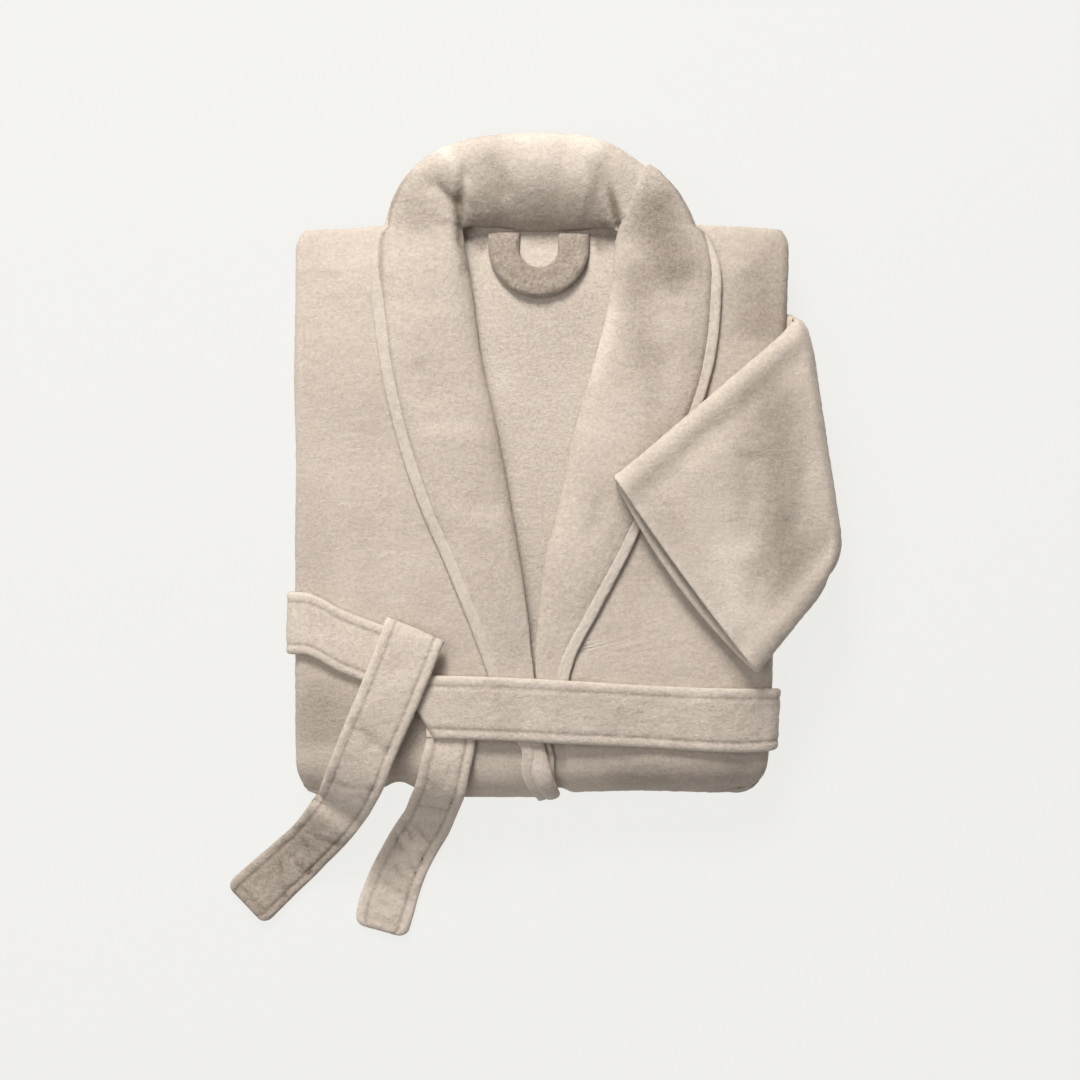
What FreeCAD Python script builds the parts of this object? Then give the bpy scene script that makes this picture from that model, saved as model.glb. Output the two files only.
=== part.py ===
import FreeCAD, Part
import math
import os

# A plush shawl-collar bathrobe, folded into a bundle and tied with its own belt. Millimetres.
# +X points to the wearer's left, +Y towards the collar, +Z up from the surface it lies on.
# "Right" and "left" are the wearer's. Every ply is laid out about a working origin and the whole
# bundle is moved, at the end, so that its bounding box stands centred on the frame's origin.

# ---- driving dimensions ----
CLOTH = 3.6               # one ply of plush terry under light load
AIR = 0.4                 # space between plies that lie on each other
LEVEL = CLOTH + AIR
SLAB = 4 * CLOTH + 3 * AIR    # one folded layer at its sides: front, back, back, front

WEST = -206.0             # the bundle's side at the wearer's right
EAST = 207.0              # the bundle's side at the wearer's left
SHOULDER_Y = 261.0        # shoulder line
FOLD_Y = -188.0           # where the skirt starts to turn under at the front
TURN_Y = 226.0            # where the turned skirt starts to fold back on itself
HEM_Y = -40.0             # bottom hem, inside the bundle
BACK_GAP = 18.4           # space for the sleeves and the belt behind the top layer

TOP_Z = 3 * SLAB + AIR + BACK_GAP             # face of the top layer
TOP_UNDER_Z = TOP_Z - SLAB                    # its underside
SKIRT_TOP_Z = 2 * SLAB + AIR                  # face of the innermost skirt layer
FRONT_FOLD_Z = TOP_Z / 2
REAR_FOLD_Z = SKIRT_TOP_Z / 2

FLAP_REACH = 103.0        # how far the side flaps reach in behind, from each side
LAP_X = 15.0              # free edge of the right front panel
UNDERLAP_X = -60.0        # free edge of the left front panel, below the right one
STEP_X = 22.0             # the left front panel steps down one level here
BACK_STEP_X = 70.0        # the back panel steps down one level inside this
STEP_RUN = 8.0

SEAM_Y = 255.0            # back neck seam
LAPEL_Z = TOP_Z + AIR     # underside of everything sewn or laid on the top layer

POCKET_SIZE = (168.0, 180.0)
POCKET_X = 104.0
POCKET_Y = -60.0
POCKET_THICK = 1.8        # the plush is pressed thin where the bundle's weight bears on it

BELT_WIDTH = 54.0
BELT_THICK = 7.0
BELT_Z = LAPEL_Z + BELT_THICK / 2             # belt's middle where it lies on the top layer
CROSSED_LAPEL = 4.0                           # lapel thickness where the belt presses on it
BELT_OVER_Z = BELT_Z + CROSSED_LAPEL + AIR    # belt's middle where it crosses the lapels
TAIL_Z = BELT_OVER_Z + BELT_THICK + AIR       # long tail's middle where it crosses the belt
SHORT_TAIL_WIDTH = 45.0

LOOP_THICK = 7.0
LOOP_OUTER_R = 43.5
LOOP_INNER_R = 16.0
LOOP_X = 1.5
LOOP_Y = 244.0            # centre of the loop's round end
LOOP_Z = TOP_Z - 2 * LEVEL + AIR + LOOP_THICK / 2

SLEEVE_THICK = 14.2       # two plies and the air between them
SLEEVE_PRESSED = 2 * CLOTH + AIR              # the same sleeve pressed behind the body
SLEEVE_FOLD_TOP = (220.0, 178.5)              # ends of the line that the left sleeve folds on
SLEEVE_FOLD_LOW = (252.4, -34.0)
SLEEVE_TIP = (65.5, 46.8)                     # the cuff's two corners
SLEEVE_HEEL = (183.6, -114.8)
FOLD_HALF = 5.0           # half the space that the sleeve's fold roll takes
SLEEVE_FOLD_Z = LAPEL_Z - 1.6 - FOLD_HALF
SLEEVE_RISE_DEG = 4.5     # the folded sleeve climbs over the lapel
CUFF_DEPTH = 24.0
RUNNING_GAP = 0.3
FOLD_SETBACK = 2.0        # keeps the opened-out sleeve clear of the part that it folds from


def vec(x, y, z):
    return FreeCAD.Vector(x, y, z)


def line(a, b):
    return Part.makeLine(a, b)


def polygon_face(points):
    return Part.Face(Part.makePolygon(points + [points[0]]))


def prism(outline, low_z, high_z):
    """A flat-topped solid over an outline of (x, y) points."""
    face = polygon_face([vec(x, y, low_z) for x, y in outline])
    return face.extrude(vec(0, 0, high_z - low_z))


def joined(pieces):
    return pieces[0].fuse(pieces[1:]).removeSplitter().Solids[0]


# ---- body panels: one cross-section carried round the bundle's spiral fold ----

def section_point(x, depth):
    return vec(x, SHOULDER_Y, TOP_Z - depth)


def side_arc(side_x, radius, inward):
    """Half circle round one side edge, from the face of the layer to its underside."""
    centre_x = side_x + inward * SLAB / 2
    middle = section_point(centre_x - inward * radius, SLAB / 2)
    start = section_point(centre_x, SLAB / 2 - radius)
    end = section_point(centre_x, SLAB / 2 + radius)
    return Part.Arc(start, middle, end).toShape(), start, end


def wrapped_section(side_x, inward, outer_r, face_points, flap_x):
    """A ply that wraps one side edge: face_points run from the free edge towards that side."""
    outer_arc, outer_start, outer_end = side_arc(side_x, outer_r, inward)
    inner_arc, inner_start, inner_end = side_arc(side_x, outer_r - CLOTH, inward)
    face = [section_point(x, depth) for x, depth in face_points] + [outer_start]
    under = [section_point(x, depth + CLOTH) for x, depth in face_points] + [inner_start]
    edges = [line(a, b) for a, b in zip(face, face[1:])]
    edges.append(outer_arc)
    flap_low = vec(flap_x, SHOULDER_Y, outer_end.z)
    flap_high = vec(flap_x, SHOULDER_Y, inner_end.z)
    edges.append(line(outer_end, flap_low))
    edges.append(line(flap_low, flap_high))
    edges.append(line(flap_high, inner_end))
    edges.append(inner_arc)
    edges.extend(line(a, b) for a, b in zip(under, under[1:]))
    edges.append(line(face[0], under[0]))
    return Part.Face(Part.Wire(Part.__sortEdges__(edges)))


def back_section():
    """The back panel wraps both sides, one level inside the front panels."""
    outer_r = SLAB / 2 - LEVEL
    west = side_arc(WEST, outer_r, 1), side_arc(WEST, outer_r - CLOTH, 1)
    east = side_arc(EAST, outer_r, -1), side_arc(EAST, outer_r - CLOTH, -1)
    steps = [(-BACK_STEP_X - STEP_RUN, 1), (-BACK_STEP_X, 2), (BACK_STEP_X, 2),
             (BACK_STEP_X + STEP_RUN, 1)]
    edges = []
    for side, depth in ((0, 0.0), (1, CLOTH)):
        top = [section_point(x, level * LEVEL + depth) for x, level in steps]
        row = [west[side][1]] + top + [east[side][1]]
        edges.extend(line(a, b) for a, b in zip(row, row[1:]))
    for arcs, flap_x in ((west, WEST + FLAP_REACH), (east, EAST - FLAP_REACH)):
        flap = [vec(flap_x, SHOULDER_Y, arc[2].z) for arc in arcs]
        edges.extend(arc[0] for arc in arcs)
        edges.extend(line(arc[2], corner) for arc, corner in zip(arcs, flap))
        edges.append(line(flap[0], flap[1]))
    return Part.Face(Part.Wire(Part.__sortEdges__(edges)))


def fold_round(face):
    """Carry a section down the top layer, round the front fold, back below and in again."""
    pieces = [face.extrude(vec(0, FOLD_Y - SHOULDER_Y, 0))]
    at_front = face.translated(vec(0, FOLD_Y - SHOULDER_Y, 0))
    pieces.append(at_front.revolve(vec(0, FOLD_Y, FRONT_FOLD_Z), vec(1, 0, 0), 180))
    below = at_front.copy()
    below.rotate(vec(0, FOLD_Y, FRONT_FOLD_Z), vec(1, 0, 0), 180)
    pieces.append(below.extrude(vec(0, TURN_Y - FOLD_Y, 0)))
    at_rear = below.translated(vec(0, TURN_Y - FOLD_Y, 0))
    pieces.append(at_rear.revolve(vec(0, TURN_Y, REAR_FOLD_Z), vec(1, 0, 0), 180))
    inside = at_rear.copy()
    inside.rotate(vec(0, TURN_Y, REAR_FOLD_Z), vec(1, 0, 0), 180)
    pieces.append(inside.extrude(vec(0, HEM_Y - TURN_Y, 0)))
    return joined(pieces)


def neck_cut(outline):
    """The part of a front panel that the neck opening takes out of the top layer."""
    return prism(outline, TOP_Z - 2 * LEVEL + AIR / 2, TOP_Z + 1)


def pocket(side):
    width, height = POCKET_SIZE
    corner = vec(side * POCKET_X - width / 2, POCKET_Y - height / 2, 0)
    return Part.makeBox(width, height, POCKET_THICK, corner)


def pocket_recess(side):
    width, height = POCKET_SIZE
    corner = vec(side * POCKET_X - width / 2 - AIR, POCKET_Y - height / 2 - AIR, -1)
    return Part.makeBox(width + 2 * AIR, height + 2 * AIR, POCKET_THICK + AIR + 1, corner)


def front_panel_right():
    section = wrapped_section(WEST, 1, SLAB / 2, [(LAP_X, 0.0)], WEST + FLAP_REACH)
    opening = [(-85, SHOULDER_Y + 4), (-12, -80), (-3, -116), (LAP_X, FOLD_Y),
               (LAP_X + 1, FOLD_Y), (LAP_X + 1, SHOULDER_Y + 4)]
    return fold_round(section).cut([neck_cut(opening), pocket_recess(-1)]).Solids[0]


def front_panel_left():
    steps = [(UNDERLAP_X, LEVEL), (STEP_X, LEVEL), (STEP_X + STEP_RUN, 0.0)]
    section = wrapped_section(EAST, -1, SLAB / 2, steps, EAST - FLAP_REACH)
    opening = [(84, SHOULDER_Y + 4), (8, -90), (UNDERLAP_X - 1, -90),
               (UNDERLAP_X - 1, SHOULDER_Y + 4)]
    return fold_round(section).cut([neck_cut(opening), pocket_recess(1)]).Solids[0]


# ---- shawl collar ----
PRESSED_LAPEL = CROSSED_LAPEL - 0.5

# Each lapel station is (y, outer edge x, inner edge x, height above the panel).
RIGHT_LAPEL = [
    (258, -141, -61, 13.0), (200, -140, -54, 12.5), (157, -135, -48.5, 12.0),
    (89, -121, -34, 11.5), (30, -104, -23, 10.5), (-21, -82.5, -14.5, 9.0),
    (-72, -57, -7.5, 6.5), (-108, -46, -4.0, PRESSED_LAPEL), (-128, -38.6, -1.6, PRESSED_LAPEL),
    (-150, -30, 1.5, PRESSED_LAPEL), (-168, -21.5, 4.8, PRESSED_LAPEL),
    (-184, -13, 8, PRESSED_LAPEL),
]
LEFT_LAPEL = [
    (258, 157, 67, 13.0), (200, 156, 61.5, 12.5), (149, 151, 49, 12.0),
    (89, 132, 32, 10.5), (30, 100, 19.6, 9.0), (-21, 76, 6.8, 8.5),
    (-64, 53.5, 2.0, 6.5), (-108, 31, -1.2, PRESSED_LAPEL), (-150, 22, 3.2, PRESSED_LAPEL),
]
BAND_WIDTH = 7.0
BAND_HEIGHT = 5.5


def domed_section(y, x_low, x_high, height):
    """Flat below, half an ellipse above."""
    half = (x_high - x_low) / 2
    centre = vec((x_low + x_high) / 2, y, LAPEL_Z)
    if half > height:
        ellipse = Part.Ellipse(centre + vec(half, 0, 0), centre + vec(0, 0, height), centre)
        arc = Part.ArcOfEllipse(ellipse, 0, math.pi)
    else:
        ellipse = Part.Ellipse(centre + vec(0, 0, height), centre + vec(-half, 0, 0), centre)
        arc = Part.ArcOfEllipse(ellipse, -math.pi / 2, math.pi / 2)
    top = arc.toShape()
    ends = [vertex.Point for vertex in top.Vertexes]
    return Part.Wire([top, line(ends[1], ends[0])])


def lapel(stations):
    """The lapel's body starts inside its stitched edge band."""
    sections = []
    for y, outer_x, inner_x, height in stations:
        inward = math.copysign(1.0, inner_x - outer_x)
        edge_x = outer_x + inward * (BAND_WIDTH + AIR)
        sections.append(domed_section(y, min(edge_x, inner_x), max(edge_x, inner_x), height))
    return Part.makeLoft(sections, True, False)


def edge_band(stations):
    """The raised, topstitched band along a lapel's outer edge."""
    sections = []
    for y, outer_x, inner_x, height in stations:
        inward = math.copysign(1.0, inner_x - outer_x)
        band_x = outer_x + inward * BAND_WIDTH
        sections.append(domed_section(y, min(outer_x, band_x), max(outer_x, band_x),
                                      min(height, BAND_HEIGHT)))
    return Part.makeLoft(sections, True, False)


def oval_section(inner, outer, half_height):
    """A standing ellipse between two points, as an upper and a lower curve."""
    centre = (inner + outer) * 0.5
    across = outer - centre
    spans = 8
    curves = []
    for first in (0, spans):
        points = []
        for i in range(first, first + spans + 1):
            angle = math.pi * i / spans
            points.append(centre + across * math.cos(angle)
                          + vec(0, 0, half_height * math.sin(angle)))
        curve = Part.BSplineCurve()
        curve.interpolate(points)
        curves.append(curve.toShape())
    return Part.Wire(curves)


def back_neck_roll():
    """The collar stands up behind the neck and rolls over: ellipses carried round an arch."""
    # (inner x, inner y, outer x, outer y, middle height, half height)
    stations = [
        (-62, 258.6, -140, 258.6, TOP_Z + 7.4, 6.8),
        (-61, 262.0, -133, 281.0, TOP_Z + 6.4, 9.0),
        (-52, 262.5, -105, 312.0, TOP_Z + 3.0, 15.0),
        (-30, 262.5, -60, 334.0, TOP_Z - 2.0, 23.0),
        (2, 262.5, 2, 341.7, TOP_Z - 5.0, 27.0),
        (34, 262.5, 64, 334.0, TOP_Z - 2.0, 23.0),
        (60, 262.5, 113, 306.0, TOP_Z + 3.0, 15.0),
        (67, 262.0, 146, 279.0, TOP_Z + 6.4, 9.0),
        (68, 258.6, 156, 258.6, TOP_Z + 7.4, 6.8),
    ]
    sections = []
    for inner_x, inner_y, outer_x, outer_y, middle_z, half_height in stations:
        inner = vec(inner_x, inner_y, middle_z)
        outer = vec(outer_x, outer_y, middle_z)
        sections.append(oval_section(inner, outer, half_height))
    return Part.makeLoft(sections, True, False)


# ---- straps: a padded band carried along a list of stations ----

def strap_section(centre, along, across, width, thick):
    """An eight-sided band section standing square to its direction of travel."""
    side = across * (width / 2)
    up = along.cross(across)
    up.normalize()
    up = up * (thick / 2)
    cut = 0.3
    corners = []
    for side_sign, up_sign, order in ((1, 1, 0), (-1, 1, 1), (-1, -1, 0), (1, -1, 1)):
        flat = centre + side * (side_sign * (1 - cut * thick / width)) + up * up_sign
        steep = centre + side * side_sign + up * (up_sign * (1 - cut))
        corners.extend((steep, flat) if order == 0 else (flat, steep))
    return Part.makePolygon(corners + [corners[0]])


def strap(stations, width, thick):
    """Ruled skin through sections at the stations, each a point and the way its face looks."""
    sections = []
    for i, (point, face_way) in enumerate(stations):
        before = stations[max(i - 1, 0)][0]
        after = stations[min(i + 1, len(stations) - 1)][0]
        along = after - before
        across = face_way.cross(along)
        across.normalize()
        along = across.cross(face_way)
        along.normalize()
        sections.append(strap_section(point, along, across, width, thick))
    return Part.makeLoft(sections, True, True)


UP = vec(0, 0, 1)


def leaning(angle_deg):
    """The way a strap's face looks where it goes over the front fold; 0 looks up."""
    angle = math.radians(angle_deg)
    return vec(0, -math.sin(angle), math.cos(angle))


def over_fold(x, angle_deg, lift):
    """A station on the front fold, lifted off the cloth, at an angle from the top."""
    way = leaning(angle_deg)
    reach = FRONT_FOLD_Z + AIR + BELT_THICK / 2 + lift
    return vec(x, FOLD_Y, FRONT_FOLD_Z) + way * reach, way


KNOT_WEST_X = -134.6
KNOT_EAST_X = -92.0
BELT_LEFT_Y = -80.0       # the belt's middle at the two sides of the bundle
BELT_RIGHT_Y = -157.0


def belt():
    """One band from the knot, round the top layer only, and back to the knot."""
    turn_r = SLAB / 2 + AIR + BELT_THICK / 2
    turn_z = TOP_Z - SLAB / 2
    west_x = WEST + SLAB / 2
    east_x = EAST - SLAB / 2
    steps = 8
    stations = [(vec(KNOT_WEST_X, -103, BELT_Z), UP), (vec(-165, -92, BELT_Z), UP)]
    for side_x, sign, y in ((west_x, -1, BELT_LEFT_Y), (east_x, 1, BELT_RIGHT_Y)):
        for i in range(steps + 1):
            angle = math.pi * (i if sign < 0 else steps - i) / steps
            way = vec(sign * math.sin(angle), 0, math.cos(angle))
            stations.append((vec(side_x, y, turn_z) + way * turn_r, way))
    stations.append((vec(90, -154, BELT_Z), UP))
    stations.append((vec(45, -151, BELT_OVER_Z), UP))
    stations.append((vec(KNOT_EAST_X, -145, BELT_OVER_Z), UP))
    return strap_along_x(stations)


def strap_along_x(stations):
    """The belt's sections stay square to X, so that it lies flat wherever it turns."""
    sections = []
    for point, way in stations:
        across = vec(0, 1, 0)
        sections.append(strap_section(point, across.cross(way), across, BELT_WIDTH, BELT_THICK))
    return Part.makeLoft(sections, True, True)


TAIL_FOLD = (vec(-129, -74, TAIL_Z), vec(-77, -89, TAIL_Z))     # ends of the long tail's fold


def belt_knot():
    """The crossed turns below the long tail, with the short tail's root under the belt."""
    high_z = TAIL_Z - BELT_THICK / 2 - AIR
    west_x = KNOT_WEST_X + AIR
    east_x = KNOT_EAST_X - AIR
    core = prism([(west_x, -78), (east_x, -86), (east_x, -168), (west_x, -141)], LAPEL_Z, high_z)
    root = prism([(east_x - 1, -150), (-54, -150), (-54, -171), (east_x - 1, -171)],
                 LAPEL_Z, LAPEL_Z + CROSSED_LAPEL)
    return joined([core, root])


def round_end(start, end, radius):
    """A rolled fold: a cylinder lying on the line between two points."""
    return Part.makeCylinder(radius, start.distanceToPoint(end), start, end - start)


def belt_tail_long():
    """From its fold on the knot, over the belt, off the front fold and along the surface."""
    start, end = TAIL_FOLD
    rest_z = BELT_THICK / 2 + 0.1
    stations = [
        (vec(-122, -135, TAIL_Z), UP), (vec(-137, -174, TAIL_Z), UP),
        over_fold(-146, 20, 6.5), over_fold(-155, 48, 3.0), over_fold(-162, 74, 4.0),
        (vec(-171, -237, 26), leaning(60)), (vec(-182, -250, 14), leaning(30)),
        (vec(-196, -265, 6.8), leaning(8)), (vec(-216, -286, rest_z), UP),
        (vec(-242.5, -314.5, rest_z), UP),
    ]
    across = start - end
    width = across.Length
    across.normalize()
    first = strap_section((start + end) * 0.5, across.cross(UP), across, width, BELT_THICK)
    second = strap_section(vec(-122, -135, TAIL_Z), across.cross(UP), across, BELT_WIDTH,
                           BELT_THICK)
    band = strap(stations, BELT_WIDTH, BELT_THICK)
    head = Part.makeLoft([first, second], True, True)
    return joined([band, head, round_end(start, end, BELT_THICK / 2)])


SHORT_TAIL_Y = -177.0
SHORT_TAIL_X = -73.0


def belt_tail_short():
    """From below the belt's lower edge, round the front fold and along the surface."""
    rest_z = BELT_THICK / 2 + 0.1
    hinge = vec(SHORT_TAIL_X, SHORT_TAIL_Y, BELT_Z)
    stations = [(hinge, UP), (hinge + vec(-0.5, -6, 0.4), UP)]
    for angle_deg, x in ((12, -75.5), (38, -78.5), (60, -82), (80, -86)):
        stations.append(over_fold(x, angle_deg, 1.0))
    stations.append((vec(-91, -231, 20), leaning(68)))
    stations.append((vec(-97, -243, 8.6), leaning(30)))
    stations.append((vec(-104, -257, rest_z), UP))
    stations.append((vec(-117, -289, rest_z), UP))
    stations.append((vec(-127.5, -336, rest_z), UP))
    band = strap(stations, SHORT_TAIL_WIDTH, BELT_THICK)
    half = vec(SHORT_TAIL_WIDTH / 2, 0, 0)
    return joined([band, round_end(hinge - half, hinge + half, BELT_THICK / 2)])


LOOP_STRIP = 1.6          # belt loop tape


def belt_loop(x, belt_y):
    """A tape sewn to the body's side flap that holds the belt up behind the top layer."""
    half = BELT_WIDTH / 2 + 2.0
    width = 12.0
    high_z = TOP_UNDER_Z - AIR
    low_z = TOP_UNDER_Z - AIR - BELT_THICK - AIR - LOOP_STRIP
    outer = Part.makeBox(width, 2 * (half + LOOP_STRIP), high_z - low_z,
                         vec(x - width / 2, belt_y - half - LOOP_STRIP, low_z))
    inner = Part.makeBox(width + 2, 2 * half, high_z - low_z,
                         vec(x - width / 2 - 1, belt_y - half, low_z + LOOP_STRIP))
    return outer.cut(inner).Solids[0]


def hanging_loop():
    """A padded U sewn into the neck seam; its ends are rolled on the seam line."""
    low_z = LOOP_Z - LOOP_THICK / 2
    bend = Part.makeCylinder(LOOP_OUTER_R, LOOP_THICK, vec(LOOP_X, LOOP_Y, low_z))
    upper = Part.makeBox(4 * LOOP_OUTER_R, 2 * LOOP_OUTER_R, 3 * LOOP_THICK,
                         vec(LOOP_X - 2 * LOOP_OUTER_R, LOOP_Y, low_z - LOOP_THICK))
    hole = Part.makeCylinder(LOOP_INNER_R, LOOP_THICK, vec(LOOP_X, LOOP_Y, low_z))
    pieces = [bend.cut([upper, hole])]
    for side in (-1, 1):
        near = LOOP_X + side * LOOP_INNER_R
        far = LOOP_X + side * LOOP_OUTER_R
        low_x = min(near, far)
        width = LOOP_OUTER_R - LOOP_INNER_R
        pieces.append(Part.makeBox(width, SEAM_Y - LOOP_Y, LOOP_THICK, vec(low_x, LOOP_Y, low_z)))
        pieces.append(round_end(vec(low_x, SEAM_Y, LOOP_Z), vec(low_x + width, SEAM_Y, LOOP_Z),
                                LOOP_THICK / 2))
    return joined(pieces)


# ---- left sleeve: comes out from behind the body and is folded over the front ----

def fold_line():
    top = vec(SLEEVE_FOLD_TOP[0], SLEEVE_FOLD_TOP[1], SLEEVE_FOLD_Z)
    low = vec(SLEEVE_FOLD_LOW[0], SLEEVE_FOLD_LOW[1], SLEEVE_FOLD_Z)
    along = top - low
    length = along.Length
    along.normalize()
    inward = vec(0, 0, 1).cross(along)
    return top, low, along, inward, length


def flat(point):
    return vec(point[0], point[1], 0)


def inset_outline(margin, mouth_margin):
    """The folded sleeve's outline, moved in by a margin; the mouth side has its own margin."""
    top, low, along, inward, length = fold_line()
    corners = [vec(top.x, top.y, 0), flat(SLEEVE_TIP), flat(SLEEVE_HEEL), vec(low.x, low.y, 0)]
    margins = [margin, mouth_margin, margin, margin + FOLD_SETBACK]
    middle = (corners[0] + corners[1] + corners[2] + corners[3]) * 0.25
    sides = []
    for i, corner in enumerate(corners):
        direction = corners[(i + 1) % 4] - corner
        direction.normalize()
        normal = vec(-direction.y, direction.x, 0)
        if normal.dot(middle - corner) < 0:
            normal = normal * -1
        sides.append((corner + normal * margins[i], direction))
    outline = []
    for i in range(4):
        (p, d), (q, e) = sides[i - 1], sides[i]
        reach = ((q.x - p.x) * e.y - (q.y - p.y) * e.x) / (d.x * e.y - d.y * e.x)
        meet = p + d * reach
        outline.append((meet.x, meet.y))
    return outline


def tilted(solid):
    top, low, along, inward, length = fold_line()
    solid.rotate(low, along, SLEEVE_RISE_DEG)
    return solid


def sleeve_tube(mouth_start, mouth_end, thicker):
    """A slice of the folded sleeve between two distances from its mouth, open inside."""
    floor_z = SLEEVE_FOLD_Z + FOLD_HALF
    top_z = floor_z + SLEEVE_THICK
    shell = prism(inset_outline(0, mouth_start), floor_z, top_z + thicker)
    hollow = prism(inset_outline(CLOTH, mouth_start - 5), floor_z + CLOTH, top_z - CLOTH)
    tube = shell.cut(hollow)
    if mouth_end is not None:
        tube = tube.cut(prism(inset_outline(-20, mouth_end), floor_z - 9, top_z + 9))
    return tilted(tube.Solids[0])


def sleeve_left_forearm():
    return sleeve_tube(CUFF_DEPTH + RUNNING_GAP, None, 0)


def cuff_left():
    return sleeve_tube(0, CUFF_DEPTH, 0.6)


def sleeve_left_upper():
    """Pressed flat behind the body, opening out to the fold, with the fold's inner roll."""
    top, low, along, inward, length = fold_line()
    fold_high = SLEEVE_FOLD_Z - FOLD_HALF - AIR
    fold_low = fold_high - SLEEVE_THICK
    rest_low = SKIRT_TOP_Z + AIR + SLEEVE_PRESSED + AIR
    rest_high = rest_low + SLEEVE_PRESSED
    reach = 250.0
    # (distance in from the fold line, height)
    outline = [(RUNNING_GAP, fold_low), (40, rest_low), (reach, rest_low), (reach, rest_high),
               (17, rest_high), (4, SLEEVE_FOLD_Z - 3.0), (RUNNING_GAP, SLEEVE_FOLD_Z - 3.0)]
    points = [vec(low.x, low.y, 0) + inward * d + vec(0, 0, z) for d, z in outline]
    plate = polygon_face(points).extrude(along * length)
    return joined([plate, round_end(low, top, FOLD_HALF - RUNNING_GAP)])


# ---- right sleeve: folded flat behind the body ----
RIGHT_SLEEVE_Y = (-28.0, 172.0)
RIGHT_SLEEVE_X = (-192.0, 144.0)
RIGHT_SLEEVE_TAPER = 12.0


def right_sleeve_outline(start_x, end_x):
    """The sleeve narrows a little towards its cuff."""
    low_y, high_y = RIGHT_SLEEVE_Y
    full = RIGHT_SLEEVE_X[1] + CUFF_DEPTH - RIGHT_SLEEVE_X[0]
    corners = []
    for x, y, sign in ((start_x, low_y, 1), (end_x, low_y, 1), (end_x, high_y, -1),
                       (start_x, high_y, -1)):
        share = (x - RIGHT_SLEEVE_X[0]) / full
        corners.append((x, y + sign * RIGHT_SLEEVE_TAPER * share))
    return corners


def sleeve_right():
    low_z = SKIRT_TOP_Z + AIR
    return prism(right_sleeve_outline(*RIGHT_SLEEVE_X), low_z, low_z + SLEEVE_PRESSED)


def cuff_right():
    low_z = SKIRT_TOP_Z + AIR
    start_x = RIGHT_SLEEVE_X[1] + RUNNING_GAP
    return prism(right_sleeve_outline(start_x, start_x + CUFF_DEPTH), low_z,
                 low_z + SLEEVE_PRESSED)


def build():
    """Every piece by name, laid out about the working origin."""
    run = (BELT_RIGHT_Y - BELT_LEFT_Y) / (EAST - WEST - SLAB)
    loop_x = FLAP_REACH - 8.0
    west_loop_y = BELT_LEFT_Y + run * (-loop_x - WEST - SLAB / 2)
    east_loop_y = BELT_LEFT_Y + run * (loop_x - WEST - SLAB / 2)
    return {
        "back_panel": fold_round(back_section()),
        "front_panel_right": front_panel_right(),
        "front_panel_left": front_panel_left(),
        "collar_right_lapel": lapel(RIGHT_LAPEL),
        "collar_left_lapel": lapel(LEFT_LAPEL),
        "collar_back_neck": back_neck_roll(),
        "collar_edge_band_right": edge_band(RIGHT_LAPEL),
        "collar_edge_band_left": edge_band(LEFT_LAPEL),
        "hanging_loop": hanging_loop(),
        "sleeve_left_upper": sleeve_left_upper(),
        "sleeve_left_forearm": sleeve_left_forearm(),
        "cuff_left": cuff_left(),
        "sleeve_right": sleeve_right(),
        "cuff_right": cuff_right(),
        "belt": belt(),
        "belt_knot": belt_knot(),
        "belt_tail_long": belt_tail_long(),
        "belt_tail_short": belt_tail_short(),
        "belt_loop_right": belt_loop(-loop_x, west_loop_y),
        "belt_loop_left": belt_loop(loop_x, east_loop_y),
        "pocket_right": pocket(-1),
        "pocket_left": pocket(1),
    }


def centring_move(pieces):
    """The move that stands the bundle's bounding box on the middle of the frame's floor."""
    box = FreeCAD.BoundBox()
    for shape in pieces.values():
        box.add(shape.optimalBoundingBox(False))
    return vec(-(box.XMin + box.XMax) / 2, -(box.YMin + box.YMax) / 2, -box.ZMin)


def main():
    pieces = build()
    move = centring_move(pieces)
    os.makedirs("parts", exist_ok=True)
    for name, shape in pieces.items():
        shape.translate(move)
        shape.exportStep(os.path.join("parts", name + ".step"))


if __name__ == "__main__":
    main()
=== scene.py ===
import math

import bmesh
import bpy
import numpy as np
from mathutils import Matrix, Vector
from mathutils.bvhtree import BVHTree


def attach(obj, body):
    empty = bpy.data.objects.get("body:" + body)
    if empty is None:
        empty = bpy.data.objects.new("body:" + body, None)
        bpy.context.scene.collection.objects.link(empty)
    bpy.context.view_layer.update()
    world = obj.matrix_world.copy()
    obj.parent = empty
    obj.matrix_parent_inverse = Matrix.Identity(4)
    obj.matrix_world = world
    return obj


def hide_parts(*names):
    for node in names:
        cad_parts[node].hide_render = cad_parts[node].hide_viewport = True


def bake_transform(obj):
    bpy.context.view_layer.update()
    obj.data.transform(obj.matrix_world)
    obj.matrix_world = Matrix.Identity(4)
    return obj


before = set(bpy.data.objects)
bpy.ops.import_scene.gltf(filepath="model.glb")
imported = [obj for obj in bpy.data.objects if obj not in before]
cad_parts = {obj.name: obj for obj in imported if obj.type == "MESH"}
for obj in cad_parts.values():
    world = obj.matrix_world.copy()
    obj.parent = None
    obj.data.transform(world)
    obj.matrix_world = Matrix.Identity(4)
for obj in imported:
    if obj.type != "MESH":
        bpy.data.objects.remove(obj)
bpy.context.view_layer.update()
scene = bpy.context.scene

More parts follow.
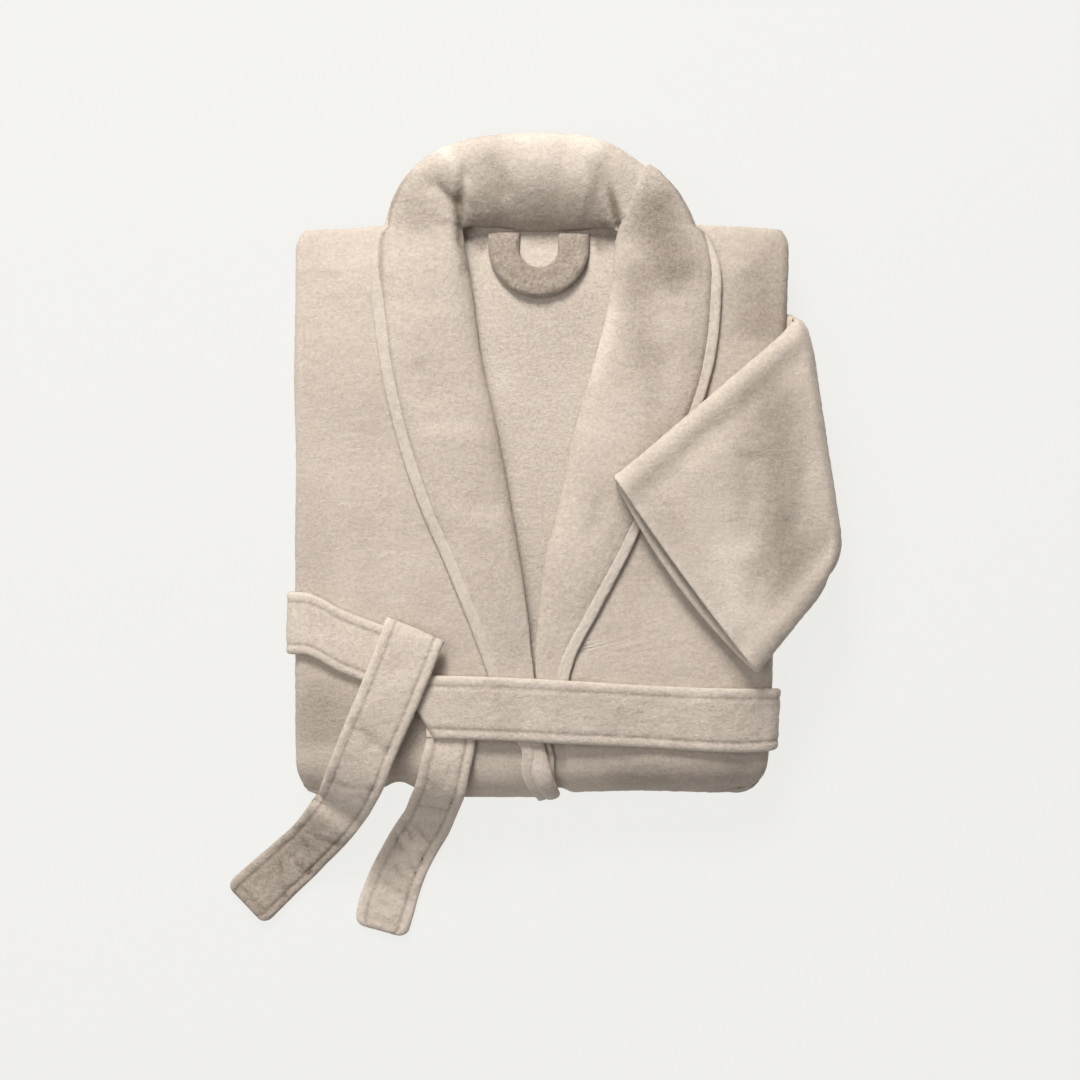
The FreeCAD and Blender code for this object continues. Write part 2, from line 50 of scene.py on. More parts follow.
# Lengths are in millimetres about the part's working origin; MOVE carries them into the frame.
MOVE = np.array((2.613, -0.614, 0.0))
CLOTH = 3.6
HALF_PLY = CLOTH / 2
LEVEL = 4.0
SLAB = 15.6
WEST, EAST = -206.0, 207.0
SHOULDER_Y, FOLD_Y, TURN_Y, HEM_Y = 261.0, -188.0, 226.0, -40.0
TOP_Z = 65.6
FRONT_FOLD_Z, REAR_FOLD_Z = 32.8, 15.8
FLAP_REACH = 103.0
LAPEL_Z = 66.0
BELT_THICK = 7.0
BELT_Z, BELT_OVER_Z, TAIL_Z = 69.5, 73.9, 81.3


# ---- numbers and noise ----


def smooth(t):
    t = np.clip(t, 0.0, 1.0)
    return t * t * (3 - 2 * t)


LATTICE = np.random.RandomState(7).uniform(-1, 1, (32, 32, 32))


def noise(points, size, seed=0):
    """Smooth value noise from -1 to 1; size is the spacing of its bumps."""
    q = np.asarray(points, float) / size + np.array((5.1, 9.7, 3.3)) + 17.37 * seed
    cell = np.floor(q).astype(int)
    f = q - cell
    f = f * f * (3 - 2 * f)
    out = np.zeros(q.shape[:-1])
    for corner in range(8):
        bit = np.array([(corner >> k) & 1 for k in range(3)])
        at = (cell + bit) % 32
        share = np.prod(np.where(bit, f, 1 - f), axis=-1)
        out += share * LATTICE[at[..., 0], at[..., 1], at[..., 2]]
    return out


def curve_through(stations, step):
    """Rows of numbers carried smoothly through the stations, at even steps."""
    rows = np.array(stations, float)
    knots = np.concatenate(([0], np.cumsum(np.linalg.norm(np.diff(rows[:, :3], axis=0), axis=1))))
    gaps = np.diff(knots)[:, None]
    slopes = np.diff(rows, axis=0) / gaps
    ways = np.vstack((slopes[:1], slopes, slopes[-1:]))
    before, after = np.vstack((gaps[:1], gaps)), np.vstack((gaps, gaps[-1:]))
    ways = (ways[:-1] * after + ways[1:] * before) / (before + after)
    fine = []
    for i, gap in enumerate(gaps):
        t = np.linspace(0, 1, 24, endpoint=False)[:, None]
        first = (1 + 2 * t) * (1 - t) ** 2 * rows[i] + t * (1 - t) ** 2 * gap * ways[i]
        fine.append(first + t * t * (3 - 2 * t) * rows[i + 1] - t * t * (1 - t) * gap * ways[i + 1])
    fine = np.vstack(fine + [rows[-1:]])
    run = np.concatenate(([0], np.cumsum(np.linalg.norm(np.diff(fine[:, :3], axis=0), axis=1))))
    at = np.linspace(0, run[-1], max(4, int(run[-1] / step) + 1))
    return np.stack([np.interp(at, run, fine[:, k]) for k in range(rows.shape[1])], 1), at


RIM = (0.0, 0.12, 0.5, 1.2, 2.4, 4.2)


def spaced(length, step):
    """Distances from 0 to length, close together at both ends, where the edge is rounded."""
    count = max(2, int((length - 2 * RIM[-1]) / step) + 1)
    inner = np.linspace(RIM[-1], length - RIM[-1], count)
    return np.concatenate((RIM[:-1], inner, length - np.array(RIM[:-1])[::-1]))


def rounded(distance, radius):
    t = np.clip(distance / radius, 0, 1)
    return np.sqrt(1 - (1 - t) ** 2)


def edge_round(at, radius):
    """1 inside and a quarter circle down to 0 at both ends of a list of distances."""
    return rounded(np.minimum(at - at[0], at[-1] - at), radius)


# ---- materials ----


def plush(name, colour, light, streak, pile):
    """Brushed plush: clumped pile, faint lengthwise strokes, soft patchy tone and sheen, with painted
    shade and painted highlights brought in by the meshes' tone attribute.
    """
    mat = bpy.data.materials.new(name)
    mat.use_nodes = True
    nodes, links = mat.node_tree.nodes, mat.node_tree.links
    shader = nodes["Principled BSDF"]
    shader.inputs["Sheen Weight"].default_value = 0.22
    shader.inputs["Sheen Roughness"].default_value = 0.45
    shader.inputs["Sheen Tint"].default_value = (1.0, 0.93, 0.85, 1)
    shader.inputs["Specular IOR Level"].default_value = 0.12
    where = nodes.new("ShaderNodeTexCoord").outputs["Object"]

    def grain(scale, detail, rough, stretch=(1, 1, 1)):
        turn = nodes.new("ShaderNodeMapping")
        turn.inputs["Scale"].default_value = stretch
        links.new(where, turn.inputs["Vector"])
        tex = nodes.new("ShaderNodeTexNoise")
        tex.inputs["Scale"].default_value = scale
        tex.inputs["Detail"].default_value = detail
        tex.inputs["Roughness"].default_value = rough
        links.new(turn.outputs[0], tex.inputs["Vector"])
        return tex.outputs["Fac"]

    def sums(kind, a, b):
        node = nodes.new("ShaderNodeMath")
        node.operation = kind
        for socket, value in zip(node.inputs, (a, b)):
            if isinstance(value, float):
                socket.default_value = value
            else:
                links.new(value, socket)
        return node.outputs[0]

    cloudy = grain(14.0, 3.0, 0.5)
    stroke = grain(170.0, 3.0, 0.6, streak)
    clump = grain(330.0, 4.0, 0.7)
    tip = grain(1500.0, 2.0, 0.6)
    # the tone attribute brings in each mesh's random tone together with its painted shade and painted
    # highlights
    tone = nodes.new("ShaderNodeAttribute")
    tone.attribute_name = "tone"
    shade = sums("MULTIPLY", sums("SUBTRACT", cloudy, 0.5), 0.22)
    shade = sums("ADD", shade, sums("MULTIPLY", sums("SUBTRACT", stroke, 0.5), 0.18))
    shade = sums("ADD", shade, sums("MULTIPLY", sums("SUBTRACT", clump, 0.5), 0.62 * pile))
    shade = sums("ADD", shade, sums("MULTIPLY", sums("SUBTRACT", tip, 0.5), 0.30))
    shade = sums("ADD", shade, sums("MULTIPLY", tone.outputs["Fac"], 0.3))
    ramp = nodes.new("ShaderNodeValToRGB")
    ramp.color_ramp.elements[0].color = (*(c * 0.42 * w for c, w in zip(colour, (1, 0.96, 0.9))), 1)
    ramp.color_ramp.elements[1].color = (*light, 1)
    middle = ramp.color_ramp.elements.new(0.5)
    middle.color = (*colour, 1)
    links.new(sums("ADD", shade, 0.5), ramp.inputs["Fac"])
    links.new(ramp.outputs["Color"], shader.inputs["Base Color"])
    rough = nodes.new("ShaderNodeMapRange")
    rough.inputs["To Min"].default_value = 0.82
    rough.inputs["To Max"].default_value = 1.0
    links.new(clump, rough.inputs["Value"])
    links.new(rough.outputs[0], shader.inputs["Roughness"])
    coarse = nodes.new("ShaderNodeBump")
    coarse.inputs["Distance"].default_value = 0.0011 * pile
    coarse.inputs["Strength"].default_value = 0.75
    links.new(sums("ADD", clump, sums("MULTIPLY", stroke, 0.4)), coarse.inputs["Height"])
    fine = nodes.new("ShaderNodeBump")
    fine.inputs["Distance"].default_value = 0.0006
    fine.inputs["Strength"].default_value = 0.7
    links.new(tip, fine.inputs["Height"])
    links.new(coarse.outputs["Normal"], fine.inputs["Normal"])
    links.new(fine.outputs["Normal"], shader.inputs["Normal"])
    return mat


BODY_MAT = plush("plush_body", (0.560, 0.479, 0.410), (0.86, 0.77, 0.68), (0.35, 1.3, 1), 0.9)
COLLAR_MAT = plush("plush_collar", (0.570, 0.488, 0.418), (0.88, 0.79, 0.70), (0.8, 1.1, 1), 1.0)
INSIDE_MAT = plush("plush_inside", (0.580, 0.500, 0.430), (0.86, 0.78, 0.69), (0.6, 1.3, 1), 1.2)
# painted light: a lighter copy of the robe's plush colour for the raised belt
BELT_MAT = plush("plush_belt", (0.625, 0.536, 0.460), (0.90, 0.81, 0.72), (0.7, 1.2, 1), 1.1)
# painted light: a lighter copy of the collar's plush colour for the raised edge bands
EDGE_MAT = plush("plush_edges", (0.600, 0.522, 0.452), (0.90, 0.82, 0.74), (0.8, 1.0, 1), 0.8)
TAPE_MAT = plush("loop_tape_weave", (0.500, 0.425, 0.355), (0.80, 0.72, 0.64), (0.2, 2.5, 1), 0.5)
# painted shade: a much darker copy of the plush colour for the hanging loop
LOOP_MAT = plush("plush_loop", (0.400, 0.334, 0.280), (0.70, 0.62, 0.54), (0.8, 0.9, 1), 1.8)


# ---- meshes ----


def above_floor(points):
    """The points in the frame's metres, none of them below the floor."""
    points = (points + MOVE) * 0.001
    points[..., 2] = np.maximum(points[..., 2], 0.0001)
    return points


def add_mesh(name, verts, faces, tone, mat, body="robe"):
    """A mesh in the frame's metres, riding on a body unless body is None."""
    mesh = bpy.data.meshes.new(name)
    mesh.from_pydata(above_floor(verts).tolist(), [], faces)
    mesh.attributes.new("tone", "FLOAT", "POINT").data.foreach_set("value", tone)
    tidy = bmesh.new()
    tidy.from_mesh(mesh)
    bmesh.ops.recalc_face_normals(tidy, faces=tidy.faces)
    tidy.to_mesh(mesh)
    tidy.free()
    mesh.shade_smooth()
    mesh.materials.append(mat)
    obj = bpy.data.objects.new(name, mesh)
    scene.collection.objects.link(obj)
    if body:
        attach(obj, body)
    return obj


def normals(points, ring):
    """The unit normal at each point of a grid; ring joins its first row to its last."""
    if ring:
        du = np.roll(points, -1, 0) - np.roll(points, 1, 0)
    else:
        du = np.gradient(points, axis=0)
    way = np.cross(du, np.gradient(points, axis=1))
    return way / np.maximum(np.linalg.norm(way, axis=-1, keepdims=True), 1e-9)


def grid_faces(index, ring):
    """Four-sided faces between the rows and columns of a grid of vertex numbers."""
    if ring:
        index = np.concatenate((index, index[:1]), 0)
    a, b, c, d = index[:-1, :-1], index[1:, :-1], index[1:, 1:], index[:-1, 1:]
    return np.stack((a, b, c, d), -1).reshape(-1, 4)


def shell(name, points, half, tone, mat, body="robe", ring=False, fluff=0.35, low_tone=None):
    """A closed ply: a grid of middle points, with half the thickness on each side of them.

    half is 0 along the free edges, where the two faces join. low_tone is the under side's tone
    where it differs. ring joins the first row to the last."""
    half = np.maximum(half, 0)
    way = normals(points, ring)
    full = max(float(half.max()), 0.1)
    tuft = fluff * (noise(points, 2.6, 1) + 0.8 * noise(points, 6.5, 2)) * (half / full) ** 0.5
    tuft_low = fluff * noise(points, 3.1, 3) * (half / full) ** 0.5
    upper = points + way * (half + tuft)[..., None]
    lower = points - way * (half + tuft_low)[..., None]
    rows, cols = half.shape
    top = np.arange(rows * cols).reshape(rows, cols)
    bottom = top + rows * cols
    for edge in (np.s_[:, 0], np.s_[:, -1]):
        bottom[edge] = top[edge]
    if not ring:
        bottom[0], bottom[-1] = top[0], top[-1]
    faces = np.vstack((grid_faces(top, ring), grid_faces(bottom, ring)[:, ::-1]))
    verts = np.vstack((upper.reshape(-1, 3), lower.reshape(-1, 3)))
    low_tone = tone if low_tone is None else low_tone
    tones = np.concatenate((tone.reshape(-1), low_tone.reshape(-1)))
    used, flat = np.unique(faces, return_inverse=True)
    return add_mesh(name, verts[used], flat.reshape(faces.shape).tolist(), tones[used], mat, body)


# ---- the bundle's soft shape, the same for everything that lies in it ----

FULL_LEVELS = (-10.0, 0.0, 31.6, 50.0, 65.6, 140.0)
EDGE_LEVELS = (-10.0, 0.0, 33.4, 42.4, 60.2, 134.5)


def corner(t):
    """How far a quarter circle has turned in: 0 at its start and 1 at its end."""
    return 1 - np.sqrt(1 - np.clip(t, 0, 1) ** 2)


def settle(points, panel=False, corners=True):
    """Moves points from the tidy layered layout to the settled, hand-folded one.

    panel adds the shoulder's rise behind the neck; corners rounds the bundle's four corners and
    dips its front fold where the tails leave it."""
    x, y, z = (points[..., k].astype(float).copy() for k in range(3))
    flat = np.stack((x, y, 0 * z), -1)
    upper = smooth((z - 34) / 14)
    side = smooth((np.abs(x) - 120) / 86)
    x_new = x + smooth((x - 150) / 57) * (18 * (y + 190) / 450 - 9)
    if corners:
        pull = 24 * corner((-193 - y) / 28) + 13 * corner((y - 243) / 19)
        x_new -= np.sign(x) * pull * smooth((np.abs(x) - 90) / 90)
    x_new += side * 1.8 * noise(flat, 75, 4)
    y_new = y + 1.6 * noise(flat, 85, 5) * smooth((np.abs(y - 30) - 150) / 60)
    y_new -= smooth((20 - x) / 20) * 4 * smooth((-190 - y) / 25)
    if corners:
        y_new += 12 * np.exp(-(((x + 122) / 24) ** 2)) * smooth((-180 - y) / 30)
    if panel:
        lift = smooth((y - 185) / 76)
        y_new += upper * lift * 11 * (1 - np.clip(np.abs(x) / 205, 0, 1))
    near_edge = np.maximum(smooth((np.abs(x) - 145) / 61), smooth((y - 200) / 58))
    pressed = np.interp(z, FULL_LEVELS, EDGE_LEVELS)
    z_new = z + near_edge * (pressed - z)
    z_new -= upper * 5 * smooth((y - 222) / 42) * smooth((300 - y) / 40 + 0.4)
    z_new -= upper * 3.0 * side * smooth((np.abs(y - 35) - 140) / 80)
    z_new -= upper * 5.0 * smooth((-118 - y) / 75)
    z_new += upper * 1.5 * noise(flat, 62, 6)
    over_pocket = smooth((84 - np.abs(np.abs(x) - 104)) / 4) * smooth((90 - np.abs(y + 60)) / 4)
    z_new += over_pocket * 1.7 * np.clip(1 - z / 12, 0, 1)
    return np.stack((x_new, y_new, z_new), -1)


# ---- body panels: one ply carried down the front, under, back below and in again ----

RUN = np.cumsum((SHOULDER_Y - FOLD_Y, math.pi * 25, TURN_Y - FOLD_Y, math.pi * 8, TURN_Y - HEM_Y))


def carry(x, depth, s):
    """A point of a panel: across, below the top face, and along the panel from its shoulder."""
    y, z = SHOULDER_Y - s, TOP_Z - depth
    turn = np.clip((s - RUN[0]) / (RUN[1] - RUN[0]), 0, 1) * math.pi
    reach = FRONT_FOLD_Z - depth
    y = np.where(s > RUN[0], FOLD_Y - reach * np.sin(turn), y)
    z = np.where(s > RUN[0], FRONT_FOLD_Z + reach * np.cos(turn), z)
    y = np.where(s > RUN[1], FOLD_Y + s - RUN[1], y)
    turn = np.clip((s - RUN[2]) / (RUN[3] - RUN[2]), 0, 1) * math.pi
    reach = REAR_FOLD_Z - depth
    y = np.where(s > RUN[2], TURN_Y + reach * np.sin(turn), y)
    z = np.where(s > RUN[2], REAR_FOLD_Z - reach * np.cos(turn), z)
    y = np.where(s > RUN[3], TURN_Y - (s - RUN[3]), y)
    return np.stack((x, y, z), -1)


def side_profile(side_x, inward, radius):
    """From the flap behind, round the side, up on to the face: rows of (x, depth)."""
    centre = side_x + inward * SLAB / 2
    flap = [(side_x + inward * d, SLAB / 2 + radius) for d in np.linspace(FLAP_REACH, SLAB / 2, 24)]
    arc = []
    for angle in np.linspace(0, math.pi, 9)[1:-1]:
        arc.append((centre - inward * radius * math.sin(angle), SLAB / 2 + radius * math.cos(angle)))
    return flap + arc + [(centre, SLAB / 2 - radius)]


def dent(x, y, start, end, width, fade=6.0):
    """1 along the line from start to end on the plan, 0 away from it."""
    start, end = np.array(start, float), np.array(end, float)
    way = end - start
    t = np.clip(((x - start[0]) * way[0] + (y - start[1]) * way[1]) / (way @ way), 0, 1)
    gap = np.hypot(x - start[0] - t * way[0], y - start[1] - t * way[1])
    taper = smooth(t * np.linalg.norm(way) / fade + 0.3) * smooth((1 - t) * 4)
    return np.exp(-((gap / width) ** 2)) * taper


# (start, end, width, change): painted shade, soft darker patches where shadow falls on the panels: round
# the loop and under the neck roll, and towards the bundle's sides and lower edges
PANEL_PAINTED_SHADE = [
    ((196, 262), (192, 150), 34.0, -0.75),
    ((-180, -120), (-186, -190), 30.0, -0.6),
    ((-196, -60), (-196, 60), 24.0, -0.25),
    ((50, -206), (260, -206), 17.0, -0.6),
    ((-60, 256), (-40, 244), 9.0, -1.7),
    ((70, 256), (46, 246), 10.0, -1.7),
    ((-16, 252), (24, 252), 6.0, -0.9),
    ((-34, 246), (-26, 222), 5.0, -0.8),
]


def panel(name, node, profile, free_edge, flat, area, mat):
    """profile runs from the flap's edge; free_edge gives the x where it ends, for each s."""
    profile = np.array(profile)
    run = np.concatenate(([0], np.cumsum(np.linalg.norm(np.diff(profile, axis=0), axis=1))))
    along = np.concatenate(
        (
            np.array(RIM),
            np.arange(7.0, RUN[1], 3.2),
            np.arange(RUN[1], RUN[2], 6.5),
            np.arange(RUN[2], RUN[3], 2.6),
            np.arange(RUN[3], RUN[4] - 8, 12.0),
            RUN[4] - np.array(RIM)[::-1],
        )
    )
    if free_edge is None:
        ends = np.full(along.shape, run[-1])
    else:
        ends = np.interp(free_edge(along), profile[:, 0] * free_edge.sign, run)
    across = spaced(run[-1], 3.4) / run[-1]
    u = across[:, None] * ends[None, :]
    x = np.interp(u, run, profile[:, 0])
    depth = np.interp(u, run, profile[:, 1])
    s = np.broadcast_to(along[None, :], u.shape)
    end = np.clip((SHOULDER_Y - s - 248.0) / 13.0, 0, 1) * (s < RUN[0])
    middle = SLAB / 2
    depth = middle + (depth - middle) * (0.3 + 0.7 * np.sqrt(1 - end**2))
    points = settle(carry(x, depth, s), panel=True)
    edge = rounded(np.minimum(u, ends[None, :] - u), 2.2)
    edge = edge * rounded(np.minimum(s, RUN[4] - s), 2.2)
    # random tone, and a darker line 8 mm inside the free edge: painted shade
    tone = 0.12 * noise(points, 30, 8) - 0.25 * np.exp(-(((ends[None, :] - u) - 8.0) ** 2) / 1.2)
    # painted shade: the listed dark patches are laid into each panel's tone
    for start, end, width, change in PANEL_PAINTED_SHADE:
        tone = tone + change * dent(points[..., 0], points[..., 1], start, end, width, 40.0)
    obj = shell(name, points, HALF_PLY * edge, tone, mat)
    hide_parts(node)
    return obj


class FreeEdge:
    """Where a front panel stops: x for each distance along it, from (y, x) corners."""

    def __init__(self, corners, sign):
        self.corners, self.sign = np.array(corners), sign

    def __call__(self, s):
        y = np.where(s < RUN[0], SHOULDER_Y - s, FOLD_Y)
        order = np.argsort(self.corners[:, 0])
        return self.sign * np.interp(y, self.corners[order, 0], self.corners[order, 1])


def line_of(first_x, last_x, depth_at):
    """Rows of (x, depth) across the top face, after the first."""
    count = int(abs(last_x - first_x) / 4.0) + 2
    return [(x, depth_at(x)) for x in np.linspace(first_x, last_x, count)[1:]]


WEST_FACE, EAST_FACE = WEST + SLAB / 2, EAST - SLAB / 2
outer_r, inner_r = SLAB / 2 - HALF_PLY, SLAB / 2 - LEVEL - HALF_PLY
right_profile = side_profile(WEST, 1, outer_r) + line_of(WEST_FACE, 15.0, lambda x: HALF_PLY)
left_profile = side_profile(EAST, -1, outer_r) + line_of(
    EAST_FACE, -60.0, lambda x: HALF_PLY + LEVEL * smooth((30 - x) / 8)
)
back_profile = side_profile(WEST, 1, inner_r) + line_of(
    WEST_FACE, EAST_FACE, lambda x: HALF_PLY + LEVEL * (1 + smooth((78 - abs(x)) / 8))
)
back_profile += side_profile(EAST, -1, inner_r)[::-1][1:]

right_edge = FreeEdge([(265, -85), (-80, -12), (-116, -3), (-188, 15)], 1)
left_edge = FreeEdge([(265, 84), (-90, 8), (-102, -60), (-188, -60)], -1)

front_right = panel(
    "front_right", "front_panel_right", right_profile, right_edge, (0.335, 1.233), 0.392, BODY_MAT
)
front_left = panel(
    "front_left", "front_panel_left", left_profile, left_edge, (0.410, 1.233), 0.445, BODY_MAT
)
back = panel("back", "back_panel", back_profile, None, (0.610, 1.233), None, INSIDE_MAT)


# ---- the height of what has been laid so far, for the pieces that lie on it ----


class Ground:
    """A height map, looked down on from above and softened over a distance of blur."""

    STEP = 3.0
    LOW, HIGH = np.array((-240.0, -260.0)), np.array((290.0, 360.0))

    def __init__(self, objects, blur):
        verts, faces = [], []
        for obj in objects:
            start = len(verts)
            verts.extend(obj.matrix_world @ v.co for v in obj.data.vertices)
            faces.extend([start + i for i in p.vertices] for p in obj.data.polygons)
        tree = BVHTree.FromPolygons(verts, faces)
        counts = ((self.HIGH - self.LOW) / self.STEP).astype(int) + 1
        self.z = np.zeros(counts)
        for i in range(counts[0]):
            for j in range(counts[1]):
                x, y = self.LOW + self.STEP * np.array((i, j)) + MOVE[:2]
                hit = tree.ray_cast(Vector((x * 0.001, y * 0.001, 0.2)), Vector((0, 0, -1)))[0]
                self.z[i, j] = hit.z * 1000 if hit else 0.0
        reach = int(3 * blur / self.STEP)
        window = np.exp(-(((np.arange(-reach, reach + 1) * self.STEP) / blur) ** 2) / 2)
        window /= window.sum()
        for axis in (0, 1):
            self.z = np.apply_along_axis(
                lambda row: np.convolve(np.pad(row, reach, "edge"), window, "valid"), axis, self.z
            )

    def at(self, x, y):
        u = np.clip((x - self.LOW[0]) / self.STEP, 0, self.z.shape[0] - 1.001)
        v = np.clip((y - self.LOW[1]) / self.STEP, 0, self.z.shape[1] - 1.001)
        i, j = u.astype(int), v.astype(int)
        f, g = u - i, v - j
        z = self.z
        return (z[i, j] * (1 - f) + z[i + 1, j] * f) * (1 - g) + (
            z[i, j + 1] * (1 - f) + z[i + 1, j + 1] * f
        ) * g


# ---- shawl collar ----


def collar_roll(name, stations, creases, mat, ripple=0.0, skew=1.3, boxy=2.3, shades=(), grooved=True):
    """A soft roll: rows of (outer xyz, inner xyz, rise, fall, lean) joined along its length.

    creases are (start, end, width, depth) and shades (start, end, width, change), on the plan. The
    creases' pits are darkened with painted shade; shades are painted shade and painted highlights, and
    the roll's crest and pleats get painted light and shade too."""
    rows, run = curve_through(stations, 3.0)
    outer, inner, rise, fall, lean = rows[:, :3], rows[:, 3:6], rows[:, 6], rows[:, 7], rows[:, 8]
    up = np.stack((0 * lean, -np.sin(lean), np.cos(lean)), 1)
    count = 46
    angle = np.linspace(0, 2 * math.pi, 2 * count, endpoint=False)
    share = 0.5 - 0.5 * np.cos(angle)
    points = outer[None] + (inner - outer)[None] * share[:, None, None]
    bent = np.interp(rise, (12.0, 22.0), (skew, min(skew, 0.62)))
    crest = share[:, None] ** bent[None, :]
    dome = (1 - np.abs(2 * crest - 1) ** boxy) ** 0.55
    flat = (1 - np.abs(2 * share - 1) ** 3.0) ** 0.4
    over = (angle <= math.pi)[:, None]
    pleat = noise(np.stack((run, 0 * run, 0 * run), 1), 15, 9)
    wave = 1 + ripple * pleat
    height = np.where(over, dome * (rise * wave)[None], -flat[:, None] * fall[None])
    points = points + up[None] * height[..., None]
    x, y = points[..., 0], points[..., 1]
    full = smooth((rise - 13) / 8)[None, :]
    # painted light and shade on the full roll: its outer crest lighter and its inner half darker, as the
    # light falls on it
    painted_crest_light_and_shade = (0.35 - 1.2 * smooth((share - 0.45) / 0.4))[:, None]
    tone = 0.1 * noise(points, 24, 10) + full * over * painted_crest_light_and_shade
    # painted light and shade: lighter and darker streaks along the soft pleats, towards the roll's outer
    # edge
    tone = tone + full * over * 0.6 * (pleat[None] * smooth((0.7 - share) / 0.3)[:, None])
    # painted shade: a dark line in the groove near the roll's outer edge, where it meets the edge band
    if grooved:
        groove = np.exp(-(((share - 0.035) / 0.03) ** 2))[:, None] * (1 - full)
        tone = tone - 0.8 * groove * over * smooth((rise - 3) / 3)[None, :]
    # creases are pressed in, and their pits darkened with painted shade
    for start, end, width, depth in creases:
        pit = dent(x, y, start, end, width, 18.0) * over
        points[..., 2] -= depth * pit
        tone = tone - 0.22 * depth / 3 * pit
    # painted shade and painted highlights from the shades list
    for start, end, width, change in shades:
        tone = tone + change * dent(x, y, start, end, width, 30.0)
    points[..., 2] += over * 0.6 * noise(points, 34, 11) * np.minimum(rise / 8, 1)[None]
    points = settle(points)
    way = normals(points, True)
    tuft = 0.3 * (noise(points, 2.6, 12) + 0.7 * noise(points, 6.0, 13))
    points = points + way * tuft[..., None]
    return close_tube(name, points, tone, mat)


def close_tube(name, points, tone, mat):
    """Faces for a ring of rows, with both ends filled round their middle points."""
    rows, cols = points.shape[:2]
    index = np.arange(rows * cols).reshape(rows, cols)
    faces = grid_faces(index, True).tolist()
    verts = [points.reshape(-1, 3)]
    tones = [tone.reshape(-1)]
    for col in (0, -1):
        middle = rows * cols + len(verts) - 1
        verts.append(points[:, col].mean(0)[None])
        tones.append(np.zeros(1))
        ring = index[:, col]
        faces += np.stack((ring, np.roll(ring, -1), np.full(rows, middle)), 1).tolist()
    return add_mesh(name, np.vstack(verts), faces, np.concatenate(tones), mat)


def over_fold(x, angle_deg, lift):
    """A point that far round the front fold, standing lift off it."""
    angle = math.radians(angle_deg)
    reach = FRONT_FOLD_Z + lift
    return x, FOLD_Y - reach * math.sin(angle), FRONT_FOLD_Z + reach * math.cos(angle)


# (y, outer edge x, inner edge x, height)
RIGHT_LAPEL = [
    (200, -140, -54, 12.5), (157, -135, -48.5, 12.5), (89, -121, -34, 12.0), (30, -102, -23, 11.0),
    (-21, -80, -14.5, 9.5), (-72, -59, -7.5, 6.5), (-108, -45.4, -4.0, 4.0), (-128, -38.6, -1.6, 3.6),
    (-150, -30, 1.5, 3.6), (-168, -21.5, 4.8, 4.2), (-184, -13, 8, 5.0),
]
LEFT_LAPEL = [
    (200, 156, 61.5, 12.5), (149, 151, 49, 12.5), (89, 132, 32, 12.0), (30, 100, 19.6, 10.0),
    (-21, 76, 6.8, 8.5), (-64, 53.5, 2.0, 6.5), (-108, 31, -1.2, 3.8), (-150, 22, 3.2, 3.6),
]
EDGE_LIFT = 2.2
EDGE_INSET = 6.6  # how far the roll starts inside the lapel's outer edge
HANG = 4.5  # how far a lapel's rolled inner edge sinks into the neck opening


def lapel_rows(stations):
    rows = []
    for y, outer_x, inner_x, height in stations:
        into = math.copysign(EDGE_INSET, inner_x - outer_x)
        sink = HANG * smooth((y + 60) / 120)
        rows.append(
            (outer_x + into, y, LAPEL_Z + EDGE_LIFT, inner_x, y, LAPEL_Z + EDGE_LIFT - sink,
             height - EDGE_LIFT + 0.4 * sink, EDGE_LIFT, 0)
        )
    return rows


shawl_rows = []
for angle_deg, outer_x, inner_x in ((72, 5.0, 20.0), (46, -1.5, 17.0), (20, -8.5, 12.5)):
    outer_p = over_fold(outer_x + 2, angle_deg, 2.4)
    inner_p = over_fold(inner_x, angle_deg, 2.4)
    shawl_rows.append((*outer_p, *inner_p, 4.4, 2.0, math.radians(angle_deg)))
shawl_rows += lapel_rows(RIGHT_LAPEL)[::-1]
# (outer x, outer y, inner x, inner y, height of the middle, half thickness)
NECK = [
    (-134, 258.6, -62, 250, 7.4, 8.0), (-132, 276, -63, 258, 6.6, 10.0),
    (-117, 301, -57, 262.5, 4.0, 15.0), (-91, 322.5, -46, 262.5, 1.0, 20.0),
    (-57, 335.5, -30, 262.5, -2.0, 23.5),
    (-14.5, 341.5, -8, 259.0, -4.5, 26.0), (19.6, 341.5, 14, 259.0, -4.5, 26.0),
    (53.6, 335.5, 36, 260.5, -2.0, 23.5), (87.6, 317, 52, 262.5, 1.0, 18.0),
    (118, 292, 64, 262, 3.5, 12.0), (138, 270, 67, 258.6, 5.5, 9.0),
]
for outer_x, outer_y, inner_x, inner_y, middle, half in NECK:
    z = TOP_Z + middle
    drop = 0.22 * max(half - 8, 0)
    shawl_rows.append(
        (outer_x, outer_y, z, inner_x, inner_y, z - drop, half + drop / 2, half - drop / 2, 0)
    )

shawl_creases = [
    ((-86, 298), (-65, 277), 3.6, 3.6),
    ((-66, 286), (-65, 240), 3.4, 3.8),
    ((-61, 311), (-67, 270), 3.8, 3.4),
    ((-108, 302), (-84, 290), 8.0, 2.0),
    ((-42, 320), (-24, 280), 7.5, 2.4),
    ((47, 318), (60, 262), 7.0, 2.4),
    ((61, 296), (73, 250), 3.6, 3.6),
    ((-100, 150), (-88, 104), 12.0, 1.8),
]
# painted shade and painted highlight on the shawl collar: shadows in its creases, under the neck roll and
# along the right lapel's inner edge, a lighter patch low on the front
shawl_painted_shading = [
    ((-128, 262), (-90, 292), 32.0, -0.5),
    ((-86, 298), (-65, 277), 3.2, -1.4),
    ((-66, 288), (-65, 236), 3.2, -1.6),
    ((-61, 308), (-67, 274), 3.2, -1.0),
    ((61, 296), (73, 252), 3.2, -1.4),
    ((-60, 262), (-58, 214), 8.0, -1.2),
    ((-47, 240), (-5, -34), 9.0, -1.1),
    ((64, 268), (54, 262), 9.0, -1.2),
    ((-20, -178), (10, -214), 14.0, 0.3),
]
shawl = collar_roll(
    "collar_shawl", shawl_rows, shawl_creases, COLLAR_MAT, ripple=0.08, shades=shawl_painted_shading
)
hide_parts("collar_right_lapel", "collar_back_neck")

